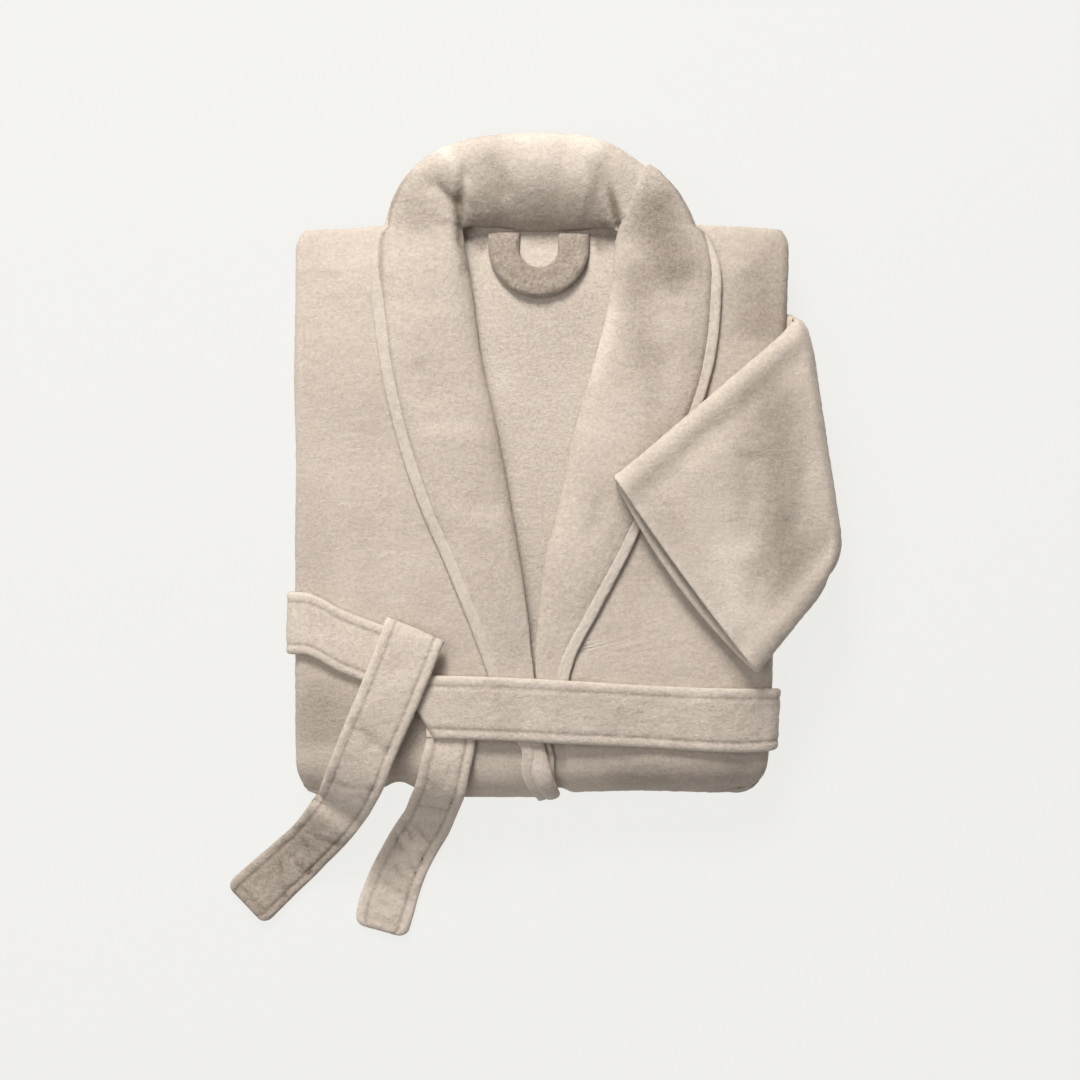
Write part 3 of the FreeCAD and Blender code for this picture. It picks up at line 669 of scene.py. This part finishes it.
left_rows = lapel_rows(LEFT_LAPEL)[::-1]
left_rows += [
    (150, 238, LAPEL_Z + 3, 66, 246, LAPEL_Z + 4, 11.5, 3.0, 0),
    (141, 268, LAPEL_Z + 5, 70, 262, LAPEL_Z + 9, 11.0, 4.0, 0),
    (126, 290, LAPEL_Z + 7, 76, 279, LAPEL_Z + 12, 10.0, 4.0, 0),
    (108, 306, LAPEL_Z + 10, 83, 297, LAPEL_Z + 14, 7.0, 4.0, 0),
    (96, 314, LAPEL_Z + 12, 89, 310, LAPEL_Z + 14, 3.5, 3.0, 0),
]
left_creases = [
    ((84, 230), (96, 120), 15.0, 2.2),
    ((112, 160), (96, 92), 10.0, 1.6),
    ((128, 214), (118, 196), 9.0, 1.2),
    ((58, 40), (46, -10), 8.0, 1.2),
]
# painted shade and painted highlight on the left lapel: darker where it turns away from the light, a lit
# strip along its inner edge
left_painted_shading = [
    ((92, 296), (124, 200), 28.0, -1.3),
    ((76, 236), (96, 110), 16.0, -0.4),
    ((64, 216), (44, 120), 9.0, 0.6),
    ((112, 110), (70, 0), 14.0, -0.4),
]
collar_left = collar_roll(
    "collar_left", left_rows, left_creases, COLLAR_MAT, skew=1.15, shades=left_painted_shading
)
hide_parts("collar_left_lapel")


BAND_WIDTH = 12.0


def edge_band(name, node, stations, ends):
    """The raised hem along a lapel's outer edge."""
    rows = []
    for y, outer_x, inner_x, height in stations:
        into = math.copysign(BAND_WIDTH, inner_x - outer_x)
        rise = min(height, 5.0) - 1.9
        rows.append((outer_x, y, LAPEL_Z + 2, outer_x + into, y, LAPEL_Z + 2, rise, 1.9, 0))
    rows = ends[0] + rows[::-1] + ends[1]
    obj = collar_roll(name, rows, [], EDGE_MAT, ripple=0.05, skew=0.95, boxy=5.0, grooved=False)
    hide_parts(node)
    return obj


low_end = []
for angle_deg, outer_x in ((72, 0.5), (46, -6.5), (20, -13.5)):
    outer_p = over_fold(outer_x, angle_deg, 2.0)
    inner_p = over_fold(outer_x + 9.0, angle_deg, 2.0)
    low_end.append((*outer_p, *inner_p, 2.6, 1.6, math.radians(angle_deg)))
band_right = edge_band(
    "edge_band_right", "collar_edge_band_right", RIGHT_LAPEL,
    (low_end, [
        (-140.5, 230, LAPEL_Z + 2.5, -133.5, 230, LAPEL_Z + 2.5, 3.4, 2, 0),
        (-137, 262, LAPEL_Z + 4, -130, 260, LAPEL_Z + 5, 3.2, 2, 0),
        (-127, 286, LAPEL_Z + 3, -122, 282, LAPEL_Z + 5, 2.4, 2, 0),
        (-112, 305, LAPEL_Z - 1, -109, 302, LAPEL_Z + 1, 1.4, 1.5, 0),
    ]),
)
band_left = edge_band(
    "edge_band_left", "collar_edge_band_left", LEFT_LAPEL,
    ([], [
        (155.5, 226, LAPEL_Z + 2.5, 143, 225, LAPEL_Z + 2.5, 3.2, 2, 0),
        (149.5, 248, LAPEL_Z + 3, 138, 245, LAPEL_Z + 5, 3.2, 2, 0),
        (140, 266, LAPEL_Z + 3, 129, 262, LAPEL_Z + 7, 2.6, 2, 0),
        (128, 282, LAPEL_Z + 3, 119, 277, LAPEL_Z + 8, 1.8, 2, 0),
    ]),
)


# ---- straps: belt, tails and loop ----


def strap(
    name, stations, width, thick, mat, body, across=None, level=False, ease=6, seam=8.6, seamed=1.0,
    end_hem=0.0, round_end=0.0, far_slant=0.0, narrow=None, creases=(), fluff=0.45, end_shade=0.0,
):
    """A padded band along rows of (x, y, z, face x, face y, face z), with a seam near each edge.

    across fixes its width's direction and level keeps the width level; otherwise the faces set it.
    narrow is (shares of the length, shares of the width). creases are (place, skew, depth, width). Seam
    grooves and creases are darkened with painted shade, the rims outside the seams lightened with painted
    highlight, and end_shade darkens the far part when below 0 and lightens it when above 0, as painted
    shade and painted light."""
    rows, run = curve_through(stations, 2.6)
    centre = rows[:, :3]
    tangent = np.gradient(centre, axis=0)
    tangent /= np.linalg.norm(tangent, axis=1, keepdims=True)
    up = rows[:, 3:6] / np.linalg.norm(rows[:, 3:6], axis=1, keepdims=True)
    side = np.cross(tangent, (0.0, 0.0, 1.0) if level else up)
    if across is not None:
        side = np.tile(across, (len(run), 1))
    side /= np.linalg.norm(side, axis=1, keepdims=True)
    window = np.ones(2 * ease + 1) / (2 * ease + 1)
    side = np.stack(
        [np.convolve(np.pad(side[:, k], ease, "edge"), window, "valid") for k in range(3)], 1
    )
    w = spaced(width, 2.3) - width / 2
    close = np.sort(np.concatenate((w, [-width / 2 + seam, width / 2 - seam])))
    w = close[np.concatenate(([True], np.diff(close) > 0.15))]
    s = spaced(run[-1], 2.6)
    middle = np.stack([np.interp(s, run, centre[:, k]) for k in range(3)], 1)
    side = np.stack([np.interp(s, run, side[:, k]) for k in range(3)], 1)
    tangent = np.stack([np.interp(s, run, tangent[:, k]) for k in range(3)], 1)
    face = np.stack([np.interp(s, run, up[:, k]) for k in range(3)], 1)
    spread = np.ones(len(s)) if narrow is None else np.interp(s / s[-1], *narrow)
    cut_back = smooth(1 - (s[-1] - s) / 40)[None] * far_slant * (w / width)[:, None]
    if round_end:
        left = np.clip(round_end - (s[-1] - s), 0, round_end)
        spread = spread * (1 - (round_end - np.sqrt(round_end**2 - left**2)) / (width / 2))
    points = middle[None] + side[None] * (w[:, None] * spread[None])[..., None]
    points = points + tangent[None] * cut_back[..., None]
    from_side = np.minimum(w + width / 2, width / 2 - w)
    half = (thick / 2) * rounded(from_side, thick * 0.55)[:, None] * edge_round(s, thick * 0.55)[None]
    groove = np.exp(-(((from_side - seam) / 1.3) ** 2))[:, None] * np.ones(len(s))[None]
    if end_hem:
        hem = np.exp(-(((s[-1] - s - end_hem) / 1.1) ** 2))[None] * (from_side > seam)[:, None]
        groove = np.maximum(groove, hem)
    groove = groove * seamed
    stitch = 0.75 + 0.25 * np.cos(2 * math.pi * s / 4.2)[None]
    half = half - 1.0 * groove * stitch * (half > 1.5)
    # painted highlight on the puffed rims outside the seams, and painted shade in the seam grooves
    tone = 0.12 * (from_side < seam - 1.0)[:, None] * np.ones(len(s))[None] - 0.75 * groove
    tone = tone + 0.15 * noise(points, 14, 14)
    # creases are pressed in and darkened with painted shade
    for start, skewed, depth, wide in creases:
        line = np.exp(-(((s[None] + skewed * w[:, None] - start) / wide) ** 2))
        line = line * smooth(0.6 + noise(points, 11, 15)) * smooth((from_side - 0.5) / 4)[:, None]
        points = points - (face[None] * (depth * line)[..., None])
        tone = tone - 0.5 * math.sqrt(depth) * line
    # painted shade (end_shade below 0) and painted light (end_shade above 0) on the far part of the strap
    tone = tone + end_shade * smooth((s / s[-1] - 0.45) / 0.35)[None, :]
    points = points + face[None] * (0.6 * noise(points, 17, 16) * edge_round(s, 6)[None])[..., None]
    return shell(name, points, half, tone, mat, body, fluff=fluff)


def up_rows(points):
    return [(x, y, z, 0, 0, 1) for x, y, z in points]


def finish_strap(node):
    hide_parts(node)


soft_ground = Ground([front_right, front_left, back, shawl, collar_left, band_right, band_left], blur=5.0)

KNOT_WEST_X, KNOT_EAST_X = -134.6, -92.0
BELT_LEFT_Y, BELT_RIGHT_Y = -75.0, -157.0
turn_r = SLAB / 2 + 0.4 + BELT_THICK / 2
turn_z = TOP_Z - SLAB / 2
belt_rows = [(KNOT_WEST_X + 14, -107, BELT_Z, 0, 0, 1), (-165, -90, BELT_Z, 0, 0, 1)]
for side_x, sign, y in ((WEST_FACE, -1, BELT_LEFT_Y), (EAST_FACE, 1, BELT_RIGHT_Y)):
    for i in range(9):
        angle = math.pi * (i if sign < 0 else 8 - i) / 8
        way = (sign * math.sin(angle), math.cos(angle))
        belt_rows.append((side_x + way[0] * turn_r, y, turn_z + way[1] * turn_r, way[0], 0, way[1]))
belt_rows += [(90, -154, BELT_Z, 0, 0, 1), (45, -151, BELT_OVER_Z, 0, 0, 1),
              (-20, -147.5, BELT_OVER_Z, 0, 0, 1), (KNOT_EAST_X - 12, -145, BELT_OVER_Z, 0, 0, 1)]
belt = strap(
    "belt_band", belt_rows, 54.0, BELT_THICK, BELT_MAT, None, across=(0.0, 1.0, 0.0), far_slant=34.0,
    narrow=((0, 0.07, 0.10, 0.13, 0.57, 0.61, 0.65, 1), (1, 1, 0.98, 1, 1, 0.93, 1, 1)),
)


def shade_all(obj, change):
    """Makes a piece's plush a little darker or lighter all over."""
    tone = obj.data.attributes["tone"].data
    values = np.empty(len(tone), np.float32)
    tone.foreach_get("value", values)
    tone.foreach_set("value", values + change)


def apply_settle(obj, corners=True):
    """Settles a finished strap with the bundle."""
    co = np.empty(len(obj.data.vertices) * 3)
    obj.data.vertices.foreach_get("co", co)
    points = settle(co.reshape(-1, 3) * 1000 - MOVE, corners=corners)
    obj.data.vertices.foreach_set("co", above_floor(points).ravel())
    obj.data.update()


apply_settle(belt)
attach(belt, "robe")
finish_strap("belt")

turn_rows = up_rows([(-106, -87, 71.0), (-111, -104, 71.4), (-118, -130, 71.4), (-123, -152, 70.6)])
knot_pad = strap("belt_knot_turn", turn_rows, 38.0, 10.0, BELT_MAT, "robe")
finish_strap("belt_knot")
root_rows = up_rows([(-73, -140, 68.4), (-73, -155, 68.4), (-73, -172, 68.6)])
knot_root = strap("belt_knot_root", root_rows, 42.0, 4.4, BELT_MAT, "robe")
finish_strap("belt_knot")


def fold_row(x, angle_deg, lift):
    """A tail's row where it passes round the front fold."""
    angle = math.radians(angle_deg)
    return (*over_fold(x, angle_deg, 0.4 + BELT_THICK / 2 + lift), 0, -math.sin(angle), math.cos(angle))


long_rows = [
    (-102.4, -80, 76.0, 0.28, 0.95, 0.1), (-104.2, -84, 80.6, 0.2, 0.6, 0.78),
    (-107, -92, TAIL_Z + 1.0, 0, 0.1, 1), (-112, -105, TAIL_Z + 1.2, 0, 0, 1),
    (-125, -137, TAIL_Z + 1.2, 0, 0, 1),
    (-141, -174, TAIL_Z - 0.8, 0, -0.05, 1), fold_row(-153, 20, 6.5), fold_row(-160.5, 46, 4.5),
    (-171, -235, 40, 0, -0.75, 0.66), (-186, -254, 22, 0, -0.7, 0.7),
    (-205, -273, 8.5, 0, -0.4, 0.9), (-228, -293, 3.9, 0, 0, 1), (-255, -318, 3.9, 0, 0, 1),
]
# painted shade: the long tail's far end, lying low on the floor, is darkened
tail_long = strap(
    "tail_long", long_rows, 53.0, BELT_THICK, BELT_MAT, None,
    end_hem=8.6, ease=8, level=True, round_end=9.0,
    creases=[(100, 0.3, 0.8, 5.0), (146, -0.35, 1.0, 5.0), (222, -0.4, 0.9, 4.5),
             (238, 0.55, 2.0, 3.6), (254, 0.1, 1.6, 3.6), (270, 0.6, 1.8, 3.6)],
    narrow=((0, 0.35, 0.75, 1.0), (1.0, 0.95, 0.84, 0.93)), end_shade=-0.95,
)
apply_settle(tail_long, corners=False)
finish_strap("belt_tail_long")

short_rows = [
    (-72, -150, 68.9, 0, 0, 1), (-73.5, -177, 69.5, 0, 0, 1), (-74.5, -183, 69.9, 0, -0.03, 1),
    fold_row(-78, 12, 1), fold_row(-82, 38, 1), fold_row(-85, 54, 1.5), (-90, -231, 36, 0, -0.8, 0.6),
    (-96, -245, 19, 0, -0.7, 0.7), (-104.5, -259, 8.0, 0, -0.4, 0.9), (-113.5, -275, 3.9, 0, 0, 1),
    (-121.5, -292, 3.9, 0, 0, 1), (-130.5, -317, 3.9, 0, 0, 1), (-137, -342, 3.9, 0, 0, 1),
]
# painted light: the short tail's far part is lightened a little
tail_short = strap(
    "tail_short", short_rows, 45.0, BELT_THICK, BELT_MAT, None,
    end_hem=8.6, ease=8, level=True, round_end=9.0,
    creases=[(66, 0.5, 1.0, 4.0), (92, -0.4, 1.2, 3.6), (132, 0.7, 2.2, 3.6), (147, 0.75, 2.6, 3.4),
             (162, 0.7, 2.6, 3.6), (177, 0.65, 2.2, 3.4), (192, 0.3, 1.4, 3.6)],
    narrow=((0, 0.5, 0.72, 0.9, 1.0), (0.94, 0.96, 1.0, 1.1, 1.06)), end_shade=0.15,
)
apply_settle(tail_short, corners=False)
finish_strap("belt_tail_short")


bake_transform(tail_long)
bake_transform(tail_short)

# ---- hanging loop ----

LOOP_X, LOOP_Y = 1.5, 244.0
LOOP_MIDDLE_R, LOOP_WIDTH, LOOP_THICK = 29.75, 27.5, 11.0
LOOP_LEFT, LOOP_RIGHT = LOOP_X - LOOP_MIDDLE_R, LOOP_X + LOOP_MIDDLE_R
loop_line = [(LOOP_LEFT, 258.0, 60.9), (LOOP_LEFT, 251.0, 61.4)]
for i in range(11):
    angle = math.pi * (1 + i / 10)
    x, y = LOOP_X + LOOP_MIDDLE_R * math.cos(angle), LOOP_Y + LOOP_MIDDLE_R * math.sin(angle)
    loop_line.append((x, y, 61.6))
loop_line += [(LOOP_RIGHT, 251.0, 61.4), (LOOP_RIGHT, 258.0, 60.9)]
loop = strap(
    "hanging_loop_pad", up_rows(loop_line), LOOP_WIDTH, LOOP_THICK, LOOP_MAT, None,
    seam=3.0, seamed=0.0, fluff=1.0,
)
apply_settle(loop)
# painted shade: the loop's plush is darkened further all over
shade_all(loop, -0.35)
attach(loop, "loop")
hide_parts("hanging_loop")

# ---- left sleeve: behind the body, round its fold and over the front ----

FOLD_TOP, FOLD_LOW = np.array((220.0, 178.5)), np.array((252.4, -34.0))
TIP, HEEL = np.array((65.5, 46.8)), np.array((183.6, -114.8))
FOLD_Z, FOLD_HALF_Z = 59.4, 12.1
FOLD_SPAN = 212.0
PLY_GAP = 5.3
ALONG = (FOLD_TOP - FOLD_LOW) / np.linalg.norm(FOLD_TOP - FOLD_LOW)
OUTWARD = np.array((ALONG[1], -ALONG[0]))
MOUTH_WAY = np.array((-(HEEL - TIP)[1], (HEEL - TIP)[0]))
MOUTH_WAY = -MOUTH_WAY / np.linalg.norm(MOUTH_WAY)
CUFF_DEPTH, OVERLAP = 24.0, 1.8
INNER_REACH = 190.0
CORNER_SLIDE = 0.42

# lanes run from the mouth to the hidden end: over the upper ply, then back under the lower one
around = spaced(FOLD_SPAN, 4.0)
ring_a = np.concatenate((around, around[-2:0:-1])) / FOLD_SPAN
ring_side = np.concatenate((np.ones(len(around)), -np.ones(len(around) - 2)))
from_top, from_low = ring_a * FOLD_SPAN, (1 - ring_a) * FOLD_SPAN
ring_edge = np.minimum(from_top, from_low)
ring_lift = ring_side * rounded(ring_edge, 9.0)
lane_length = (1 - ring_a) * np.linalg.norm(TIP - FOLD_TOP) + ring_a * np.linalg.norm(HEEL - FOLD_LOW)

# how far the fold's two rounded corners stand back from the fold line
CORNER_PULL = 6.5 * np.clip(1 - from_low / 30.0, 0, 1) ** 2
FOLD_PULL = CORNER_PULL + 3.0 * corner(1 - from_top / 12.0)


def sleeve_flap(q):
    """Plan and height of the flap; q is 1 at the mouth and 0 at the fold, one row per lane."""
    a = ring_a[:, None]
    at_fold = FOLD_TOP * (1 - a[..., None]) + FOLD_LOW * a[..., None]
    at_mouth = TIP * (1 - a[..., None]) + HEEL * a[..., None]
    plan = at_fold * (1 - q[..., None]) + at_mouth * q[..., None]
    plan = plan + (np.sin(math.pi * a) * 2.0 * q)[..., None] * MOUTH_WAY
    near_fold = np.clip(1 - q * lane_length[:, None] / 34, 0, 1) ** 2
    plan = plan - (FOLD_PULL[:, None] * near_fold)[..., None] * OUTWARD
    plan = plan + (CORNER_SLIDE * CORNER_PULL[:, None] * near_fold)[..., None] * ALONG
    away = -((plan - FOLD_LOW) @ OUTWARD)
    z = FOLD_Z + FOLD_HALF_Z + 12.5 * smooth(away / 84) + 2.5 * smooth((away - 90) / 100)
    lip = (ring_lift < 0.5)[:, None] * smooth(1 - (1 - q) * lane_length[:, None] / 18)
    plan = plan + (8.0 * lip * np.sin(math.pi * a) ** 0.7)[..., None] * MOUTH_WAY
    gap = PLY_GAP * (1 + 0.15 * np.sin(math.pi * a) * smooth((q - 0.75) / 0.25))
    pillow = 1.5 * np.exp(-(((ring_edge[:, None] - 12) / 7) ** 2))
    pillow = pillow - 1.3 * np.exp(-(((ring_edge[:, None] - 30) / 10) ** 2))
    z = z + ring_lift[:, None] * gap + (ring_side > 0)[:, None] * pillow
    return np.concatenate((plan, z[..., None]), -1)


def draped(points):
    """Raises the lower ply where what lies under it is higher."""
    floor_z = soft_ground.at(points[..., 0], points[..., 1]) + (HALF_PLY + 0.4)
    share = np.clip((ring_lift[:, None] + 1) / 2, 0, 1)
    points[..., 2] += np.clip(floor_z - points[..., 2], 0, 14) * (1 - share)
    return points


# painted highlights and painted shade on the sleeve: lighter folded edges, a darker band where the flap
# slopes away from the light, a lighter patch low on the flap, and a darker hem line
def sleeve_tone_and_painted_shading(points, hem_gap):
    tone = 0.12 * noise(points, 28, 17) + 0.25 * np.exp(-((ring_edge / 6.0) ** 2))[:, None]
    tone = tone - 0.8 * dent(points[..., 0], points[..., 1], (194, 140), (214, -70), 24.0, 60.0)
    tone = tone + 0.7 * dent(points[..., 0], points[..., 1], (158, 10), (172, -96), 22.0, 40.0)
    return tone - 0.1 * np.exp(-((hem_gap / 2.5) ** 2))


flap_wrinkles = [
    ((180, 70), (176, -20), 13.0, 3.0),
    ((150, 96), (120, 60), 10.0, 1.4),
    ((226, 60), (214, -10), 9.0, 1.2),
    ((188, -30), (176, -70), 9.0, 1.6),
]


def flap_soft(points):
    """Presses the flap's wrinkles and soft unevenness into it."""
    x, y = points[..., 0], points[..., 1]
    for start, end, width, depth in flap_wrinkles:
        points[..., 2] -= depth * dent(x, y, start, end, width)
    points[..., 2] += 0.9 * noise(points * np.array((1, 1, 0)), 33, 18)
    return points


cuff_m = spaced(CUFF_DEPTH + OVERLAP, 3.0)
cuff_q = 1 - cuff_m[None, :] / lane_length[:, None]
cuff_points = draped(flap_soft(sleeve_flap(cuff_q)))
cuff_half = HALF_PLY * 1.15 * np.ones((len(ring_a), 1)) * (
    rounded(cuff_m, 2.4) * rounded(CUFF_DEPTH + OVERLAP - cuff_m, 1.2)
)
cuff_tone = sleeve_tone_and_painted_shading(cuff_points, (CUFF_DEPTH - cuff_m)[None, :])
# painted highlight along the cuff's mouth rim
cuff_tone = cuff_tone + 0.5 * np.exp(-((cuff_m / 4.0) ** 2))[None, :]
low_ply = smooth((0.4 - ring_lift) / 0.6)[:, None]
# painted shade inside the sleeve's mouth, on the lower ply's inner face
mouth_painted_shade = cuff_tone - 1.6 * low_ply * smooth((cuff_m - 4.5) / 3)[None, :]
cuff_half = cuff_half * (1 + 0.45 * low_ply * np.exp(-(((cuff_m - 3) / 3) ** 2))[None, :])
faces_out = normals(cuff_points, True)[ring_lift > 0.9][:, :, 2].mean() > 0
tones = (cuff_tone, mouth_painted_shade) if faces_out else (mouth_painted_shade, cuff_tone)
cuff = shell(
    "cuff_hem", cuff_points, cuff_half, tones[0], BODY_MAT, "folded_sleeve", ring=True, low_tone=tones[1]
)
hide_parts("cuff_left")

flap_t = np.concatenate((spaced(180.0, 3.6)[: -len(RIM) + 1], [180.0])) / 180.0
flap_q = (1 - (CUFF_DEPTH - OVERLAP) / lane_length)[:, None] * (1 - flap_t)[None, :]
base_points = sleeve_flap(flap_q)
flap_points = flap_soft(base_points.copy())
soft_share = smooth(flap_q / 0.12)
flap_points = base_points * (1 - soft_share[..., None]) + flap_points * soft_share[..., None]
flap_points = draped(flap_points)

fold_turn = np.linspace(0, math.pi, 15)[1:]
fold_plan = FOLD_TOP * (1 - ring_a[:, None]) + FOLD_LOW * ring_a[:, None]
bulge = (7.6 + 2.4 * ring_lift)[:, None] * np.sin(fold_turn)[None, :]
bulge = bulge * (rounded(from_low, 46.0) * (0.35 + 0.65 * rounded(from_top, 32.0)))[:, None]
bulge = bulge - FOLD_PULL[:, None]
# the part behind stands a little past the flap's upper edge
past_edge = 9.0 * (1 - ring_a) ** 5
up_shift = past_edge[:, None] * smooth(fold_turn / math.pi)[None, :] + CORNER_SLIDE * CORNER_PULL[:, None]
fold_plan = fold_plan[:, None, :] + up_shift[..., None] * ALONG
rise = (FOLD_HALF_Z + PLY_GAP * ring_lift)[:, None] * np.cos(fold_turn)[None, :]
fold_points = np.concatenate(
    (fold_plan + OUTWARD * bulge[..., None], (FOLD_Z + rise)[..., None]), -1
)
inner_end = INNER_REACH - np.array(RIM)[::-1][2:]
inner_w = np.concatenate((np.arange(4.0, INNER_REACH - 2.0, 7.0), inner_end))
pressed = smooth(inner_w / 42)[None, :]
inner_z = (FOLD_Z - FOLD_HALF_Z) * (1 - pressed) + 44.2 * pressed
inner_gap = PLY_GAP * (1 - pressed) + 1.95 * pressed
inner_z = inner_z - ring_lift[:, None] * inner_gap
inner_in = inner_w[None, :] + FOLD_PULL[:, None] * smooth(1 - inner_w / 60)[None, :]
inner_plan = fold_plan[:, -1:, :] - OUTWARD * inner_in[..., None]
inner_points = np.concatenate((inner_plan, inner_z[..., None]), -1)
sleeve_points = np.concatenate((flap_points, fold_points, inner_points), 1)
sleeve_half = np.ones(sleeve_points.shape[:2]) * HALF_PLY
near_cuff = flap_t[None, :] * (lane_length - CUFF_DEPTH)[:, None]
sleeve_half[:, : len(flap_t)] *= rounded(near_cuff, 1.2)
sleeve_half[:, -len(inner_w) :] *= rounded(INNER_REACH - inner_w, 2.0)[None, :]
hem_gap = np.full(sleeve_points.shape[:2], 50.0)
hem_gap[:, : len(flap_t)] = near_cuff
sleeve_shade = sleeve_tone_and_painted_shading(sleeve_points, hem_gap)
sleeve = shell("sleeve_left", sleeve_points, sleeve_half, sleeve_shade, BODY_MAT, None, ring=True)
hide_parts("sleeve_left_upper", "sleeve_left_forearm")
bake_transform(sleeve)

# ---- hidden pieces: right sleeve and cuff, belt loops, pockets ----


TUBE_LOW_Z, TUBE_THICK, TUBE_WIDTH = 32.1, 7.3, 200.0


def flat_tube(name, node, start_x, end_x):
    """The right sleeve, pressed flat behind the body: both plies of a tube, closed at its folds."""
    s = spaced(end_x - start_x, 8.0)
    x = start_x + s
    share = np.clip((x + 192.0) / 360.0, 0, 1)
    w = spaced(TUBE_WIDTH, 8.0) / TUBE_WIDTH
    low_y, high_y = -28 + 12 * share, 172 - 12 * share
    y = low_y[None, :] + (high_y - low_y)[None, :] * w[:, None]
    z = np.full(y.shape, TUBE_LOW_Z + TUBE_THICK / 2)
    points = settle(np.stack((np.broadcast_to(x[None, :], y.shape), y, z), -1))
    half = (TUBE_THICK / 2) * rounded(np.minimum(w, 1 - w) * TUBE_WIDTH, 4.0)[:, None]
    half = half * edge_round(s, 3.0)[None, :]
    obj = shell(name, points, half, 0.1 * noise(points, 25, 19), BODY_MAT, "robe", fluff=0.2)
    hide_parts(node)


flat_tube("sleeve_right_soft", "sleeve_right", -192.0, 144.0)
flat_tube("cuff_right_soft", "cuff_right", 144.3, 168.0)


POCKET_WIDTH, POCKET_HEIGHT = 168.0, 180.0


def pocket(side):
    """A patch pocket, pressed between the underside and what the bundle lies on."""
    s = spaced(POCKET_WIDTH, 6.0)
    w = spaced(POCKET_HEIGHT, 6.0)
    x = side * 104.0 - POCKET_WIDTH / 2 + s[:, None] + 0 * w[None, :]
    y = -150.0 + w[None, :] + 0 * s[:, None]
    points = np.stack((x, y, 0 * x + 0.95), -1)
    gap = np.minimum(
        np.minimum(s, POCKET_WIDTH - s)[:, None], np.minimum(w, POCKET_HEIGHT - w)[None, :]
    )
    half = 0.9 * rounded(gap, 1.4)
    seam = np.exp(-(((gap - 9.0) / 1.0) ** 2))
    name = "pocket_right" if side < 0 else "pocket_left"
    # random tone, and painted shade in the pocket's seam groove
    tone = 0.1 * noise(points, 25, 20) - 0.7 * seam
    obj = shell(name + "_patch", points, half - 0.35 * seam, tone, BODY_MAT, "robe", fluff=0.08)
    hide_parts(name)


pocket(-1)
pocket(1)


def belt_loop(name, node, x, y):
    """A flat tape, bowed round the belt behind the top layer."""
    half_run, low_z, high_z = 30.0, 40.4, 49.2
    rows = [
        (x, y + half_run, high_z, 0, 0, -1), (x, y + half_run, low_z + 2, 0, 0.6, -0.8),
        (x, y + half_run - 3, low_z, 0, 0, -1), (x, y, low_z - 0.3, 0, 0, -1),
        (x, y - half_run + 3, low_z, 0, 0, -1), (x, y - half_run, low_z + 2, 0, -0.6, -0.8),
        (x, y - half_run, high_z, 0, 0, -1),
    ]
    obj = strap(name, rows, 12.0, 1.6, TAPE_MAT, "robe", across=(1.0, 0.0, 0.0), seam=3.0, fluff=0.05)
    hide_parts(node)


slope = (BELT_RIGHT_Y - BELT_LEFT_Y) / (EAST - WEST - SLAB)
for name, x in (("belt_loop_right", -95.0), ("belt_loop_left", 95.0)):
    belt_loop(name + "_tape", name, x, BELT_LEFT_Y + slope * (x - WEST - SLAB / 2))

# ---- floor, light and camera ----

floor_mesh = bpy.data.meshes.new("floor")
FAR = 30.0
floor_corners = [(-FAR, -FAR, 0), (FAR, -FAR, 0), (FAR, FAR, 0), (-FAR, FAR, 0)]
floor_mesh.from_pydata(floor_corners, [], [(0, 1, 2, 3)])
floor = bpy.data.objects.new("floor", floor_mesh)
scene.collection.objects.link(floor)
floor_mat = bpy.data.materials.new("pale_floor")
floor_mat.use_nodes = True
shader = floor_mat.node_tree.nodes["Principled BSDF"]
shader.inputs["Roughness"].default_value = 0.95
shader.inputs["Specular IOR Level"].default_value = 0.05
shader.inputs["Base Color"].default_value = (0.06, 0.06, 0.058, 1)
shader.inputs["Emission Color"].default_value = (1.0, 0.995, 0.965, 1)
shader.inputs["Emission Strength"].default_value = 0.815
floor_mesh.materials.append(floor_mat)

world = bpy.data.worlds.new("soft_room")
world.use_nodes = True
world.node_tree.nodes["Background"].inputs["Color"].default_value = (1.0, 0.995, 0.985, 1)
world.node_tree.nodes["Background"].inputs["Strength"].default_value = 0.24
scene.world = world


def area_light(name, place, target, size, power):
    lamp = bpy.data.lights.new(name, "AREA")
    lamp.shape = "DISK"
    lamp.size = size
    lamp.energy = power
    lamp.color = (1.0, 0.985, 0.96)
    obj = bpy.data.objects.new(name, lamp)
    obj.location = place
    obj.rotation_euler = (Vector(target) - Vector(place)).to_track_quat("-Z", "Y").to_euler()
    scene.collection.objects.link(obj)


area_light("key_from_top", (-0.45, 2.1, 1.75), (0, 0.0, 0.03), 1.0, 84.0)
area_light("fill", (-1.2, 0.1, 2.2), (-0.1, 0, 0), 1.6, 19.0)

camera = bpy.data.objects.new("camera", bpy.data.cameras.new("camera"))
camera.data.lens = 78.6
camera.data.sensor_width = 36.0
camera.location = (0.0052, -0.0049, 2.066)
camera.rotation_euler = (0, 0, 0)
scene.collection.objects.link(camera)
scene.camera = camera
scene.view_settings.view_transform = "Standard"
